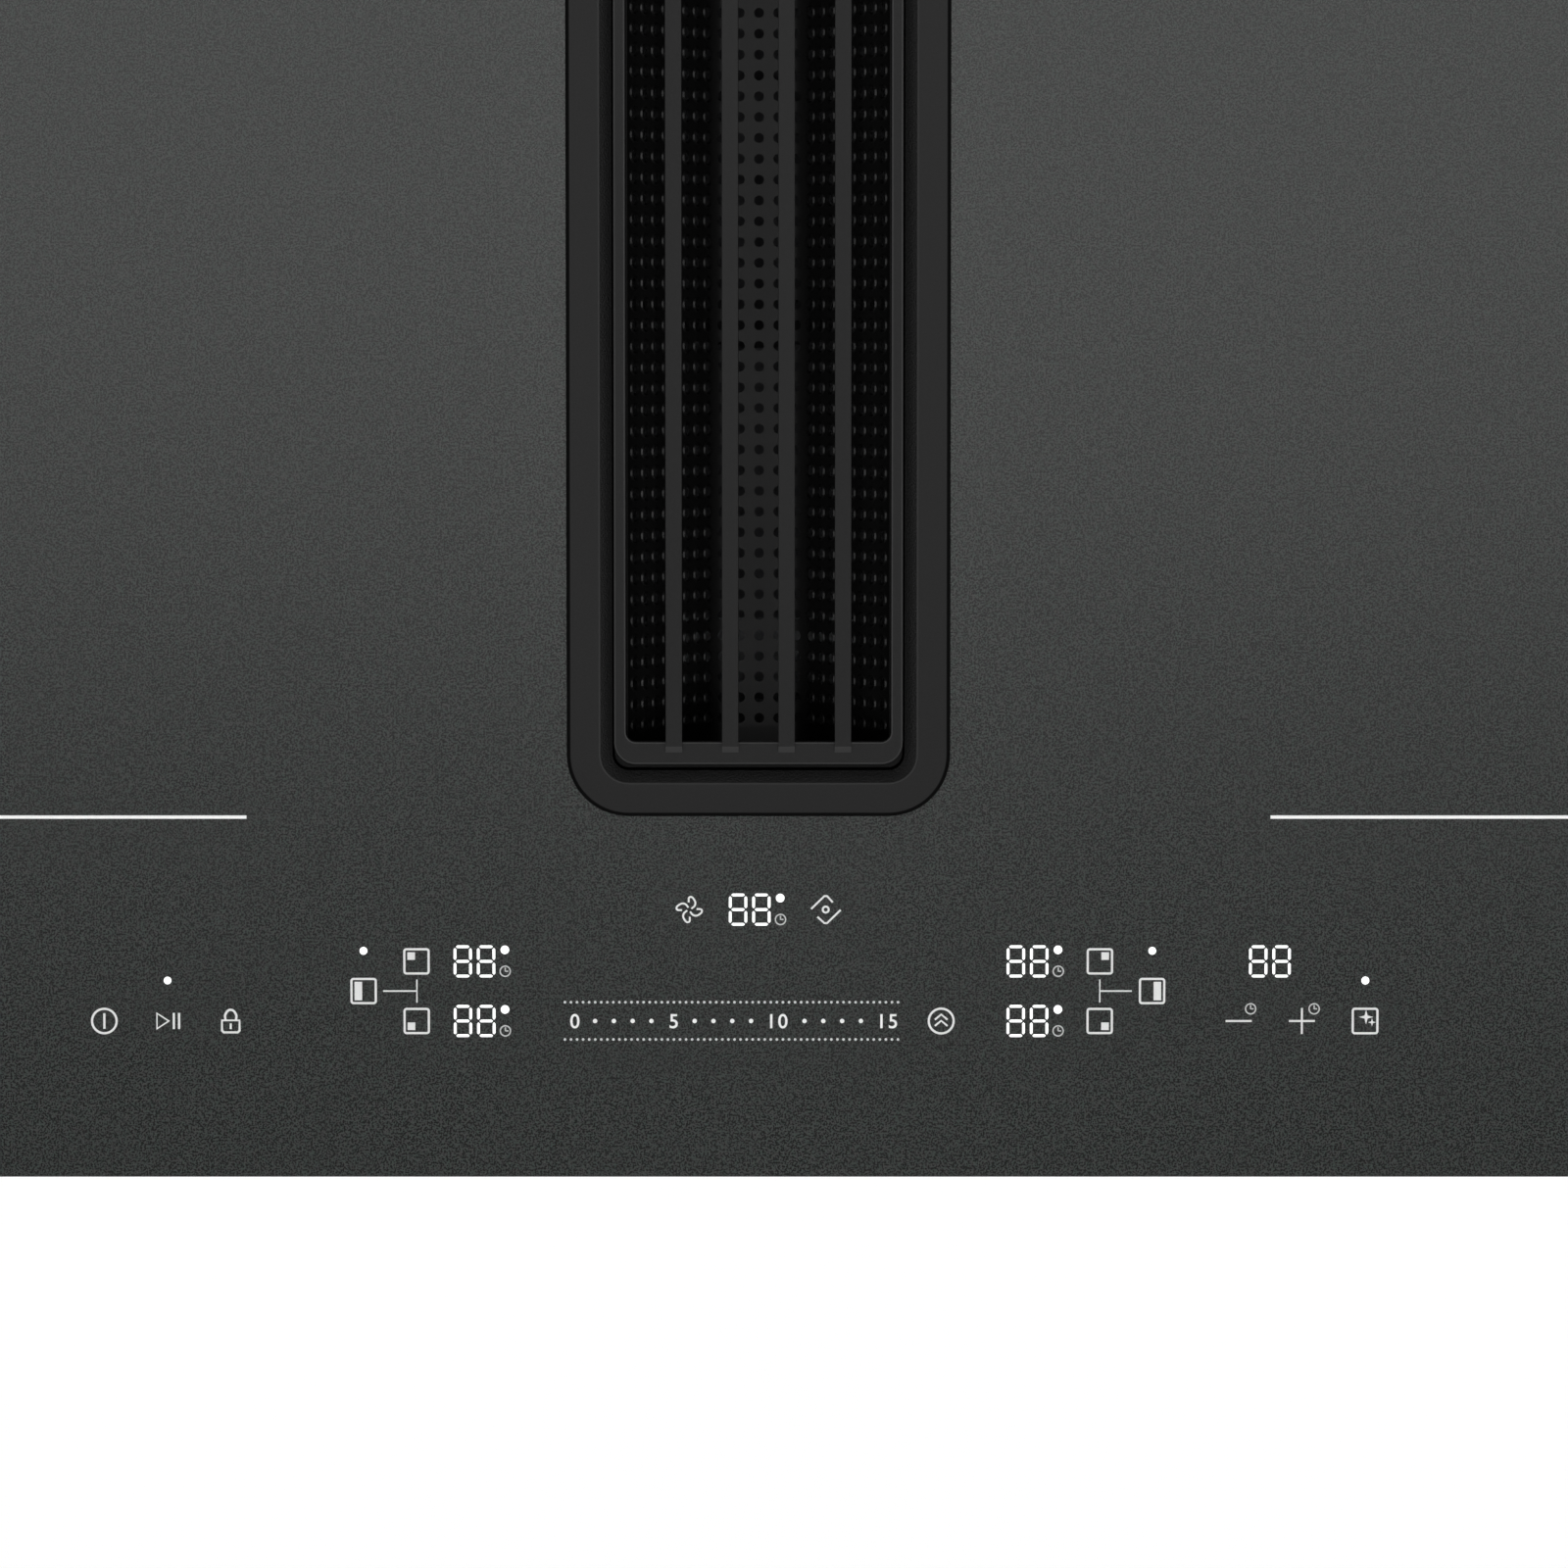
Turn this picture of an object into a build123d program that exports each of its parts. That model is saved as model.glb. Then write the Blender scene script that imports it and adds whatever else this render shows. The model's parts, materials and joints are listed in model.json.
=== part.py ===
from build123d import *
import os
from math import cos, degrees, atan2, hypot, radians, sin

os.makedirs("parts", exist_ok=True)

# A built-in induction cooktop with a downdraft extractor in its middle. Millimetres.
# +X is to the cook's right, -Y is towards the cook, +Z is up. The origin is the centre of the
# worktop seat, which is the underside of the foam gasket round the glass.

# ---------------------------------------------------------------- driving dimensions
# Glass and its gasket
GLASS_WIDTH = 830.0
GLASS_DEPTH = 520.0
GLASS_THICKNESS = 4.0
GLASS_CORNER_RADIUS = 5.0
GLASS_BEVEL = 0.8
GASKET_THICKNESS = 1.5
GASKET_WIDTH = 12.0
GASKET_INSET = 2.0

# Slot frame, measured over its outer edge
SLOT_WIDTH = 115.5
SLOT_FROM_FRONT = 109.6
SLOT_FROM_REAR = 35.0
SLOT_CORNER_RADIUS = 18.7
MIN_CORNER_RADIUS = 3.0
FRAME_SEAL_THICKNESS = 0.4
RIM_HEIGHT = 1.2
RIM_EDGE_RADIUS = 1.0
RIM_WIDTH = 10.0
RIM_OVERLAP = 7.75
SLOPE_RUN = 3.7
SHOULDER_CLEARANCE = 1.25
SHOULDER_DEPTH = 3.5
FRAME_WALL = 1.8
FRAME_DEPTH = 23.1
LEDGE_WIDTH = 4.0
LEDGE_THICKNESS = 2.0

# Filter: a collar that stands on the frame's ledge and carries a perforated trough
SEAT_CLEARANCE = 0.3
COLLAR_SIDE_CLEARANCE = 0.5
COLLAR_HEIGHT = 14.0
COLLAR_WALL = 2.0
COLLAR_LIP_WIDTH = 2.0
COLLAR_LIP_THICKNESS = 1.5
TROUGH_SHEET = 0.8
TROUGH_SIDE_CLEARANCE = 0.2
TROUGH_DEPTH = 44.0
TROUGH_FLOOR_WIDTH = 28.0
HOLE_DIAMETER = 3.1
HOLE_PITCH_ALONG = 6.4
HOLE_PITCH_ACROSS = 5.95
HOLE_FRONT_MARGIN = 7.6
HOLE_REAR_MARGIN = 4.0
FLOOR_HOLE_COLUMNS = 5
WALL_HOLE_COLUMNS = 8

# Grille: a ring on rubber pads, and bars laid over it
PAD_HEIGHT = 1.0
PAD_LENGTH = 12.0
PAD_WIDTH = 2.4
PADS_PER_SIDE = 3
RING_SIDE_CLEARANCE = 0.55
RING_END_CLEARANCE = 2.0
RING_HEIGHT = 5.0
RING_SIDE_RAIL = 3.6
RING_END_RAIL = 6.8
RING_OUTER_RADIUS = 6.5
RING_INNER_RADIUS = 3.0
RING_EDGE_RADIUS = 0.5
BAR_COUNT = 4
BAR_WIDTH = 5.0
BAR_RISE = 2.0
BAR_END_INSET = 2.7
BAR_END_CHAMFER = 1.5
BAR_FIT = 0.1

# Air well below the slot
WELL_CLEARANCE = 4.2
WELL_WALL = 2.0
WELL_CORNER_RADIUS = 8.0
WELL_SEAL_THICKNESS = 2.0
WELL_BOX_WIDTH = 176.0
WELL_FLANGE_OVERHANG = 9.0
WELL_BOX_DEPTH = 56.0
INLET_RADIUS = 70.0
INLET_COLLAR_HEIGHT = 12.0
DRAIN_LENGTH = 60.0
DRAIN_WIDTH = 26.0
DRAIN_FROM_FRONT = 36.0

# Base pan of the induction unit
PAN_SIDE_INSET = 28.0
PAN_END_INSET = 18.0
PAN_HEIGHT = 57.5
PAN_SHEET = 1.2
PAN_CORNER_RADIUS = 8.0
PAN_FLANGE = 8.0
PAN_WELL_CLEARANCE = 3.0
VENT_FROM_SIDE = 87.0
VENT_COUNT = 9
VENT_LENGTH = 46.0
VENT_WIDTH = 4.0
VENT_PITCH = 10.0

# Cooking zones
COIL_SHIFT_X = 17.0
ZONE_GAP = 5.0
ZONE_EDGE_GAP = 9.5
COIL_INNER_RADIUS = 24.0
COIL_HEIGHT = 4.0
FORMER_RIM = 3.0
FORMER_HEIGHT = 3.0
FORMER_BORE_RADIUS = 15.0
FERRITES_PER_COIL = 8
FERRITE_END_GAP = 4.0
FERRITE_WIDTH = 13.0
FERRITE_CLEARANCE = 0.3
SENSOR_RADIUS = 6.0
INSULATION_THICKNESS = 0.5
COIL_PLATE_THICKNESS = 1.5
COIL_PLATE_SLOT_GAP = 5.25
COIL_PLATE_SIDE_GAP = 2.8
COIL_PLATE_REAR_GAP = 1.5
SPRING_HEIGHT = 5.0
SPRING_STRIP = 0.6
SPRING_WIDTH = 8.0
SPRING_LENGTH = 26.0
POST_RADIUS = 5.0
POST_INSET_X = 14.0
POST_INSET_Y = 30.0

# Power electronics, on the right side; the left side mirrors it
STANDOFF_HEIGHT = 6.0
STANDOFF_RADIUS = 3.5
STANDOFF_INSET = 8.0
BOARD_THICKNESS = 1.6
BOARD_WIDTH = 216.0
BOARD_DEPTH = 186.0
BOARD_CENTRE_X = 200.0
BOARD_FRONT_GAP = 13.0
HEATSINK_WIDTH = 60.0
HEATSINK_LENGTH = 160.0
HEATSINK_HEIGHT = 30.0
HEATSINK_BASE = 5.0
HEATSINK_FINS = 9
HEATSINK_FIN = 1.6
HEATSINK_CENTRE_X = 245.0
CAPACITOR_RADIUS = 11.0
CAPACITOR_HEIGHT = 26.0
CAPACITOR_PITCH = 30.0
CAPACITOR_X = 125.0
CHOKE_RADIUS = 17.0
CHOKE_BORE_RADIUS = 8.0
CHOKE_HEIGHT = 16.0
CHOKE_X = 165.0
FAN_SIZE = 88.0
FAN_HEIGHT = 26.0
FAN_WALL = 1.6
FAN_CAVITY_RADIUS = 40.0
FAN_OUTLET_WIDTH = 56.0
FAN_SPACE_SHARE = 1 / 3
FAN_INLET_RADIUS = 26.0
FAN_ROTOR_RADIUS = 36.0
FAN_BLADES = 18
FAN_BLADE_CHORD = 9.0
FAN_BLADE_SHEET = 1.2
FAN_HUB_RADIUS = 12.0
FAN_PIN_RADIUS = 2.0
FAN_GAP = 1.5

# Controls
KEY_ROW_FROM_EDGE = 47.5
LINK_ROW_FROM_EDGE = 56.6
ZONE_ROW_FROM_EDGE = 65.6
TOP_ROW_FROM_EDGE = 81.3
CARRIER_FRONT_GAP = 2.8
CONTROL_BOARD_WIDTH = 440.0
CONTROL_BOARD_DEPTH = 66.0
CARRIER_MARGIN = 4.0
CARRIER_THICKNESS = 2.0
CONTROL_BOARD_TOP_GAP = 8.0
CARRIER_LEGS_PER_ROW = 4
TOUCH_SPRING_RADIUS = 4.0
TOUCH_SPRING_WALL = 0.8
DISPLAY_WIDTH = 24.0
DISPLAY_DEPTH = 15.0
DISPLAY_GAP = 0.3

# Mains connection
TERMINAL_WIDTH = 64.0
TERMINAL_DEPTH = 26.0
TERMINAL_HEIGHT = 22.0
TERMINAL_POLES = 6
TERMINAL_POLE_RADIUS = 3.0
TERMINAL_FROM_SIDE = 37.0
TERMINAL_FROM_REAR = 24.0
HATCH_DEPTH = 30.0
HATCH_GAP = 4.0
HATCH_COVER_LAP = 10.0
HATCH_COVER_SHEET = 1.5
GLAND_BELOW_GLASS = 36.0
GLAND_BORE_RADIUS = 6.0
GLAND_CLEARANCE = 0.3
GLAND_THREAD_RADIUS = 10.0
GLAND_NUT_RADIUS = 14.0
GLAND_NUT_LENGTH = 6.0
GLAND_LENGTH = 26.0
GLAND_TAIL = 4.0

# Fixing brackets under the worktop
BRACKET_SPREAD_Y = 300.0
BRACKET_WIDTH = 30.0
BRACKET_SHEET = 2.0
BRACKET_FOOT = 24.0
BRACKET_LEG = 16.0
BRACKET_HOLE_RADIUS = 2.6
BRACKET_HOLE_FROM_WALL = 15.0
WORKTOP_THICKNESS = 38.0

# Blower below the well
BLOWER_FROM_WELL_FRONT = 204.7
BLOWER_WALL = 2.5
SCROLL_START_GAP = 12.0
SCROLL_END_GAP = 50.0
SCROLL_START_ANGLE = 118.0
OUTLET_LIP = 2.0
OUTLET_REACH = 145.0
OUTLET_STRAIGHT = 12.0
IMPELLER_RADIUS = 90.0
IMPELLER_INNER_RADIUS = 68.0
IMPELLER_HEIGHT = 42.0
IMPELLER_SHEET = 2.0
IMPELLER_TOP_GAP = 4.0
IMPELLER_BLADES = 24
IMPELLER_BLADE_TURN = 35.0
HUB_RADIUS = 14.0
SHAFT_RADIUS = 4.0
RUNNING_CLEARANCE = 0.08
MOTOR_RADIUS = 48.0
MOTOR_GAP = 3.0
MOTOR_FLANGE = 8.0
MOTOR_FLANGE_THICKNESS = 3.0
EAR_RADIUS = 7.0
EAR_HEIGHT = 4.0
EAR_HEAD_GAP = 1.0

# Flat-duct spigot and its flaps
DUCT_WIDTH = 222.0
DUCT_HEIGHT = 89.0
SPIGOT_WALL = 2.0
SPIGOT_FLANGE = 3.0
SPIGOT_LENGTH = 42.0
SPIGOT_SLEEVE = 8.0
SPIGOT_FIT = 0.2
FLAP_SHEET = 2.0
FLAP_SIDE_CLEARANCE = 1.0
FLAP_EDGE_CLEARANCE = 1.0
FLAP_PIN_RADIUS = 1.5
FLAP_HINGE_FROM_FLANGE = 4.0

# Drip cup
CUP_WIDTH = 90.0
CUP_DEPTH = 46.0
CUP_HEIGHT = 44.0
CUP_WALL = 2.0
CUP_RIM = 4.0
CUP_RIM_THICKNESS = 2.0
CUP_CLEARANCE = 0.3
RAIL_THICKNESS = 2.5

# Screws: one kind of M4 pan-head screw throughout
SCREW_RADIUS = 1.9
SCREW_HEAD_RADIUS = 3.8
SCREW_HEAD_HEIGHT = 2.4
SCREW_CLEARANCE = 0.2
SCREW_REACH = 1.5

# ---------------------------------------------------------------- levels and places
GLASS_BOTTOM = GASKET_THICKNESS
GLASS_TOP = GLASS_BOTTOM + GLASS_THICKNESS
GLASS_FRONT_Y = -GLASS_DEPTH / 2
SLOT_LENGTH = GLASS_DEPTH - SLOT_FROM_FRONT - SLOT_FROM_REAR
SLOT_CENTRE_Y = GLASS_FRONT_Y + SLOT_FROM_FRONT + SLOT_LENGTH / 2
FRAME_TOP = GLASS_TOP + FRAME_SEAL_THICKNESS + RIM_HEIGHT
SLOPE_INSET = RIM_WIDTH + SLOPE_RUN
TUBE_INSET = SLOPE_INSET - FRAME_WALL
LEDGE_BOTTOM = FRAME_TOP - FRAME_DEPTH
LEDGE_TOP = LEDGE_BOTTOM + LEDGE_THICKNESS
COLLAR_BOTTOM = LEDGE_TOP + SEAT_CLEARANCE
COLLAR_TOP = COLLAR_BOTTOM + COLLAR_HEIGHT
COLLAR_INSET = SLOPE_INSET + COLLAR_SIDE_CLEARANCE
TROUGH_TOP = COLLAR_BOTTOM + COLLAR_LIP_THICKNESS
RING_WIDTH = SLOT_WIDTH - 2 * (SLOPE_INSET + RING_SIDE_CLEARANCE)
RING_LENGTH = SLOT_LENGTH - 2 * (SLOPE_INSET + RING_END_CLEARANCE)
RING_BOTTOM = COLLAR_TOP + SEAT_CLEARANCE + PAD_HEIGHT
RING_TOP = RING_BOTTOM + RING_HEIGHT
BAR_TOP = RING_TOP + BAR_RISE

PAN_WIDTH = GLASS_WIDTH - 2 * PAN_SIDE_INSET
PAN_DEPTH = GLASS_DEPTH - 2 * PAN_END_INSET
PAN_MOUTH_WIDTH = PAN_WIDTH - 2 * (PAN_SHEET + PAN_FLANGE)
PAN_MOUTH_DEPTH = PAN_DEPTH - 2 * (PAN_SHEET + PAN_FLANGE)
VENT_CENTRE_X = PAN_WIDTH / 2 - VENT_FROM_SIDE
PAN_BOTTOM = GLASS_BOTTOM - PAN_HEIGHT
PAN_FLOOR = PAN_BOTTOM + PAN_SHEET
WELL_INSET = TUBE_INSET - WELL_CLEARANCE
WELL_OUTER_INSET = WELL_INSET - WELL_WALL
WELL_TOP = GLASS_BOTTOM - WELL_SEAL_THICKNESS
WELL_FLANGE_BOTTOM = PAN_BOTTOM - WELL_WALL
WELL_BOTTOM = PAN_BOTTOM - WELL_BOX_DEPTH
WELL_FRONT_Y = SLOT_CENTRE_Y - SLOT_LENGTH / 2 + WELL_OUTER_INSET
WELL_LENGTH = SLOT_LENGTH - 2 * WELL_OUTER_INSET

# Each side's two coils share a plate, which reaches from the slot to the pan's mouth.
COIL_PLATE_INNER_X = SLOT_WIDTH / 2 + COIL_PLATE_SLOT_GAP
COIL_PLATE_OUTER_X = PAN_MOUTH_WIDTH / 2 - COIL_PLATE_SIDE_GAP
COIL_PLATE_WIDTH = COIL_PLATE_OUTER_X - COIL_PLATE_INNER_X
COIL_PLATE_CENTRE_X = (COIL_PLATE_OUTER_X + COIL_PLATE_INNER_X) / 2
COIL_PLATE_DEPTH = 2 * (PAN_MOUTH_DEPTH / 2 - COIL_PLATE_REAR_GAP - SLOT_CENTRE_Y)
FORMER_RADIUS = (COIL_PLATE_DEPTH / 2 - ZONE_GAP / 2 - ZONE_EDGE_GAP) / 2
COIL_RADIUS = FORMER_RADIUS - FORMER_RIM
COIL_X = COIL_PLATE_CENTRE_X + COIL_SHIFT_X
COIL_Y_SPREAD = FORMER_RADIUS + ZONE_GAP / 2
FERRITE_LENGTH = COIL_RADIUS - COIL_INNER_RADIUS - 2 * FERRITE_END_GAP

INSULATION_BOTTOM = GLASS_BOTTOM - INSULATION_THICKNESS
COIL_BOTTOM = INSULATION_BOTTOM - COIL_HEIGHT
FORMER_BOTTOM = COIL_BOTTOM - FORMER_HEIGHT
PLATE_BOTTOM = FORMER_BOTTOM - COIL_PLATE_THICKNESS
SPRING_BOTTOM = PLATE_BOTTOM - SPRING_HEIGHT
BOARD_BOTTOM = PAN_FLOOR + STANDOFF_HEIGHT
BOARD_TOP = BOARD_BOTTOM + BOARD_THICKNESS
CONTROL_BOARD_TOP = GLASS_BOTTOM - CONTROL_BOARD_TOP_GAP
CARRIER_TOP = CONTROL_BOARD_TOP - BOARD_THICKNESS
CARRIER_BOTTOM = CARRIER_TOP - CARRIER_THICKNESS
TERMINAL_CENTRE_X = PAN_WIDTH / 2 - TERMINAL_FROM_SIDE - TERMINAL_WIDTH / 2
TERMINAL_CENTRE_Y = PAN_DEPTH / 2 - TERMINAL_FROM_REAR - TERMINAL_DEPTH / 2
GLAND_X = TERMINAL_CENTRE_X
GLAND_Z = GLASS_BOTTOM - GLAND_BELOW_GLASS

# From the front: the control carrier, the power boards, the cooling fans, the terminal block.
CARRIER_WIDTH = CONTROL_BOARD_WIDTH + 2 * CARRIER_MARGIN
CARRIER_DEPTH = CONTROL_BOARD_DEPTH + 2 * CARRIER_MARGIN
CONTROL_CENTRE_Y = -PAN_DEPTH / 2 + PAN_SHEET + CARRIER_FRONT_GAP + CARRIER_DEPTH / 2
BOARD_CENTRE_Y = CONTROL_CENTRE_Y + CARRIER_DEPTH / 2 + BOARD_FRONT_GAP + BOARD_DEPTH / 2
BOARD_REAR_Y = BOARD_CENTRE_Y + BOARD_DEPTH / 2
FAN_FREE_SPACE = TERMINAL_CENTRE_Y - TERMINAL_DEPTH / 2 - BOARD_REAR_Y - FAN_SIZE
FAN_CENTRE_Y = BOARD_REAR_Y + FAN_SPACE_SHARE * FAN_FREE_SPACE + FAN_SIZE / 2

BLOWER_Y = WELL_FRONT_Y + BLOWER_FROM_WELL_FRONT
BLOWER_HEIGHT = DUCT_HEIGHT + 2 * OUTLET_LIP
BLOWER_TOP = WELL_BOTTOM
BLOWER_BOTTOM = BLOWER_TOP - BLOWER_HEIGHT
BLOWER_MIDDLE = (BLOWER_TOP + BLOWER_BOTTOM) / 2
SCROLL_START_RADIUS = IMPELLER_RADIUS + SCROLL_START_GAP
SCROLL_END_RADIUS = IMPELLER_RADIUS + SCROLL_END_GAP
OUTLET_WIDTH = DUCT_WIDTH + 2 * OUTLET_LIP
OUTLET_END_Y = BLOWER_Y + OUTLET_REACH
OUTLET_RIGHT_X = SCROLL_END_RADIUS
OUTLET_LEFT_X = SCROLL_END_RADIUS - OUTLET_WIDTH
OUTLET_CENTRE_X = (OUTLET_RIGHT_X + OUTLET_LEFT_X) / 2
IMPELLER_TOP = BLOWER_TOP - BLOWER_WALL - IMPELLER_TOP_GAP
IMPELLER_BOTTOM = IMPELLER_TOP - IMPELLER_HEIGHT
MOTOR_BOTTOM = BLOWER_BOTTOM + BLOWER_WALL
MOTOR_TOP = IMPELLER_BOTTOM - MOTOR_GAP

SIDES = {"left": -1, "right": 1}
ROWS = {"front": -1, "rear": 1}

# Where the printed controls are, from the middle of the glass: the touch springs stand below them.
KEY_ROW_Y = GLASS_FRONT_Y + KEY_ROW_FROM_EDGE
LINK_ROW_Y = GLASS_FRONT_Y + LINK_ROW_FROM_EDGE
ZONE_ROW_Y = GLASS_FRONT_Y + ZONE_ROW_FROM_EDGE
TOP_ROW_Y = GLASS_FRONT_Y + TOP_ROW_FROM_EDGE
SLIDER_CENTRE_X = -8.2
SLIDER_KEY_COUNT = 4
SLIDER_KEY_PITCH = 31.0
KEY_PLACES = [
    (-197.7, KEY_ROW_Y),
    (-178.3, KEY_ROW_Y),
    (-159.5, KEY_ROW_Y),
    (-119.3, LINK_ROW_Y),
    (-103.3, KEY_ROW_Y),
    (-103.3, ZONE_ROW_Y),
    (-21.0, TOP_ROW_Y),
    (20.1, TOP_ROW_Y),
    (55.2, KEY_ROW_Y),
    (103.0, KEY_ROW_Y),
    (103.0, ZONE_ROW_Y),
    (118.9, LINK_ROW_Y),
    (145.1, KEY_ROW_Y),
    (164.2, KEY_ROW_Y),
    (183.3, KEY_ROW_Y),
]
DISPLAY_PLACES = [
    (-85.6, ZONE_ROW_Y),
    (-85.6, KEY_ROW_Y),
    (-2.7, TOP_ROW_Y),
    (81.3, ZONE_ROW_Y),
    (81.3, KEY_ROW_Y),
    (154.4, ZONE_ROW_Y),
]


# ---------------------------------------------------------------- helpers
def save(name, *solids):
    """Write one node: a single solid, or a group of separate ones."""
    shape = solids[0] if len(solids) == 1 else Compound(list(solids))
    export_step(shape, f"parts/{name}.step")


def plate(width, depth, radius, low, high, centre=(0.0, 0.0)):
    """A flat block with rounded corners between two heights."""
    outline = RectangleRounded(width, depth, radius)
    return Pos(centre[0], centre[1], low) * extrude(outline, high - low)


def block(width, depth, low, high, centre=(0.0, 0.0)):
    """A square-edged block between two heights."""
    return Pos(centre[0], centre[1], low) * extrude(Rectangle(width, depth), high - low)


def disc(radius, low, high, centre=(0.0, 0.0)):
    """A round block between two heights."""
    return Pos(centre[0], centre[1], low) * extrude(Circle(radius), high - low)


def slot_sketch(inset, height):
    """The slot frame's outline drawn in by an inset, at a height."""
    radius = max(SLOT_CORNER_RADIUS - inset, MIN_CORNER_RADIUS)
    outline = RectangleRounded(SLOT_WIDTH - 2 * inset, SLOT_LENGTH - 2 * inset, radius)
    return Pos(0, SLOT_CENTRE_Y, height) * outline


def slot_block(inset, low, high):
    """A block with the slot's outline, drawn in by an inset."""
    return extrude(slot_sketch(inset, low), high - low)


def polar(radius, angle, centre=(0.0, 0.0)):
    """A point on a circle; the angle is in degrees from +X."""
    turn = radians(angle)
    return (centre[0] + radius * cos(turn), centre[1] + radius * sin(turn))


def screw(x, y, seat, grip, points_up):
    """A pan-head screw: its head lies against the seat, its shank goes through the grip."""
    way = 1 if points_up else -1
    head_end = seat - way * SCREW_HEAD_HEIGHT
    tip = seat + way * grip
    head = disc(SCREW_HEAD_RADIUS, min(seat, head_end), max(seat, head_end), (x, y))
    shank = disc(SCREW_RADIUS, min(seat, tip), max(seat, tip), (x, y))
    return head + shank


def screw_hole(x, y, low, high):
    """A clearance hole for a screw."""
    return disc(SCREW_RADIUS + SCREW_CLEARANCE, low, high, (x, y))


# ---------------------------------------------------------------- glass, gasket and slot frame
def glass_top():
    body = plate(GLASS_WIDTH, GLASS_DEPTH, GLASS_CORNER_RADIUS, GLASS_BOTTOM, GLASS_TOP)
    top_edges = body.faces().sort_by(Axis.Z)[-1].edges()
    body = chamfer(top_edges, GLASS_BEVEL)
    return body - slot_block(RIM_OVERLAP, GLASS_BOTTOM, GLASS_TOP)


def rim_gasket():
    width = GLASS_WIDTH - 2 * GASKET_INSET
    depth = GLASS_DEPTH - 2 * GASKET_INSET
    outer = plate(width, depth, GLASS_CORNER_RADIUS, 0, GASKET_THICKNESS)
    inner_width = width - 2 * GASKET_WIDTH
    inner_depth = depth - 2 * GASKET_WIDTH
    return outer - plate(inner_width, inner_depth, GLASS_CORNER_RADIUS, 0, GASKET_THICKNESS)


def slot_frame():
    rim_bottom = GLASS_TOP + FRAME_SEAL_THICKNESS
    rim = slot_block(0, rim_bottom, FRAME_TOP)
    edge_radius = min(RIM_EDGE_RADIUS, 0.9 * RIM_HEIGHT)
    rim = fillet(rim.faces().sort_by(Axis.Z)[-1].edges(), edge_radius)
    shoulder = slot_block(RIM_OVERLAP + SHOULDER_CLEARANCE, rim_bottom - SHOULDER_DEPTH, rim_bottom)
    tube = slot_block(TUBE_INSET, LEDGE_BOTTOM, rim_bottom)
    slope_bottom = FRAME_TOP - SLOPE_RUN
    slope = loft([slot_sketch(SLOPE_INSET, slope_bottom), slot_sketch(RIM_WIDTH, FRAME_TOP)])
    opening = slot_block(SLOPE_INSET, LEDGE_TOP, slope_bottom)
    mouth = slot_block(SLOPE_INSET + LEDGE_WIDTH, LEDGE_BOTTOM, LEDGE_TOP)
    return rim + shoulder + tube - slope - opening - mouth


def slot_frame_seal():
    outer = slot_block(SHOULDER_CLEARANCE, GLASS_TOP, GLASS_TOP + FRAME_SEAL_THICKNESS)
    return outer - slot_block(RIM_OVERLAP, GLASS_TOP, GLASS_TOP + FRAME_SEAL_THICKNESS)


# ---------------------------------------------------------------- filter
def filter_frame():
    outer = slot_block(COLLAR_INSET, COLLAR_BOTTOM, COLLAR_TOP)
    inner = slot_block(COLLAR_INSET + COLLAR_WALL, TROUGH_TOP, COLLAR_TOP)
    mouth = slot_block(COLLAR_INSET + COLLAR_WALL + COLLAR_LIP_WIDTH, COLLAR_BOTTOM, TROUGH_TOP)
    return outer - inner - mouth


def trough_section(half_top, half_floor, top, floor):
    """The trough's cross-section as corner points, in X and Z."""
    return [(-half_top, top), (-half_floor, floor), (half_floor, floor), (half_top, top)]


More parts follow.
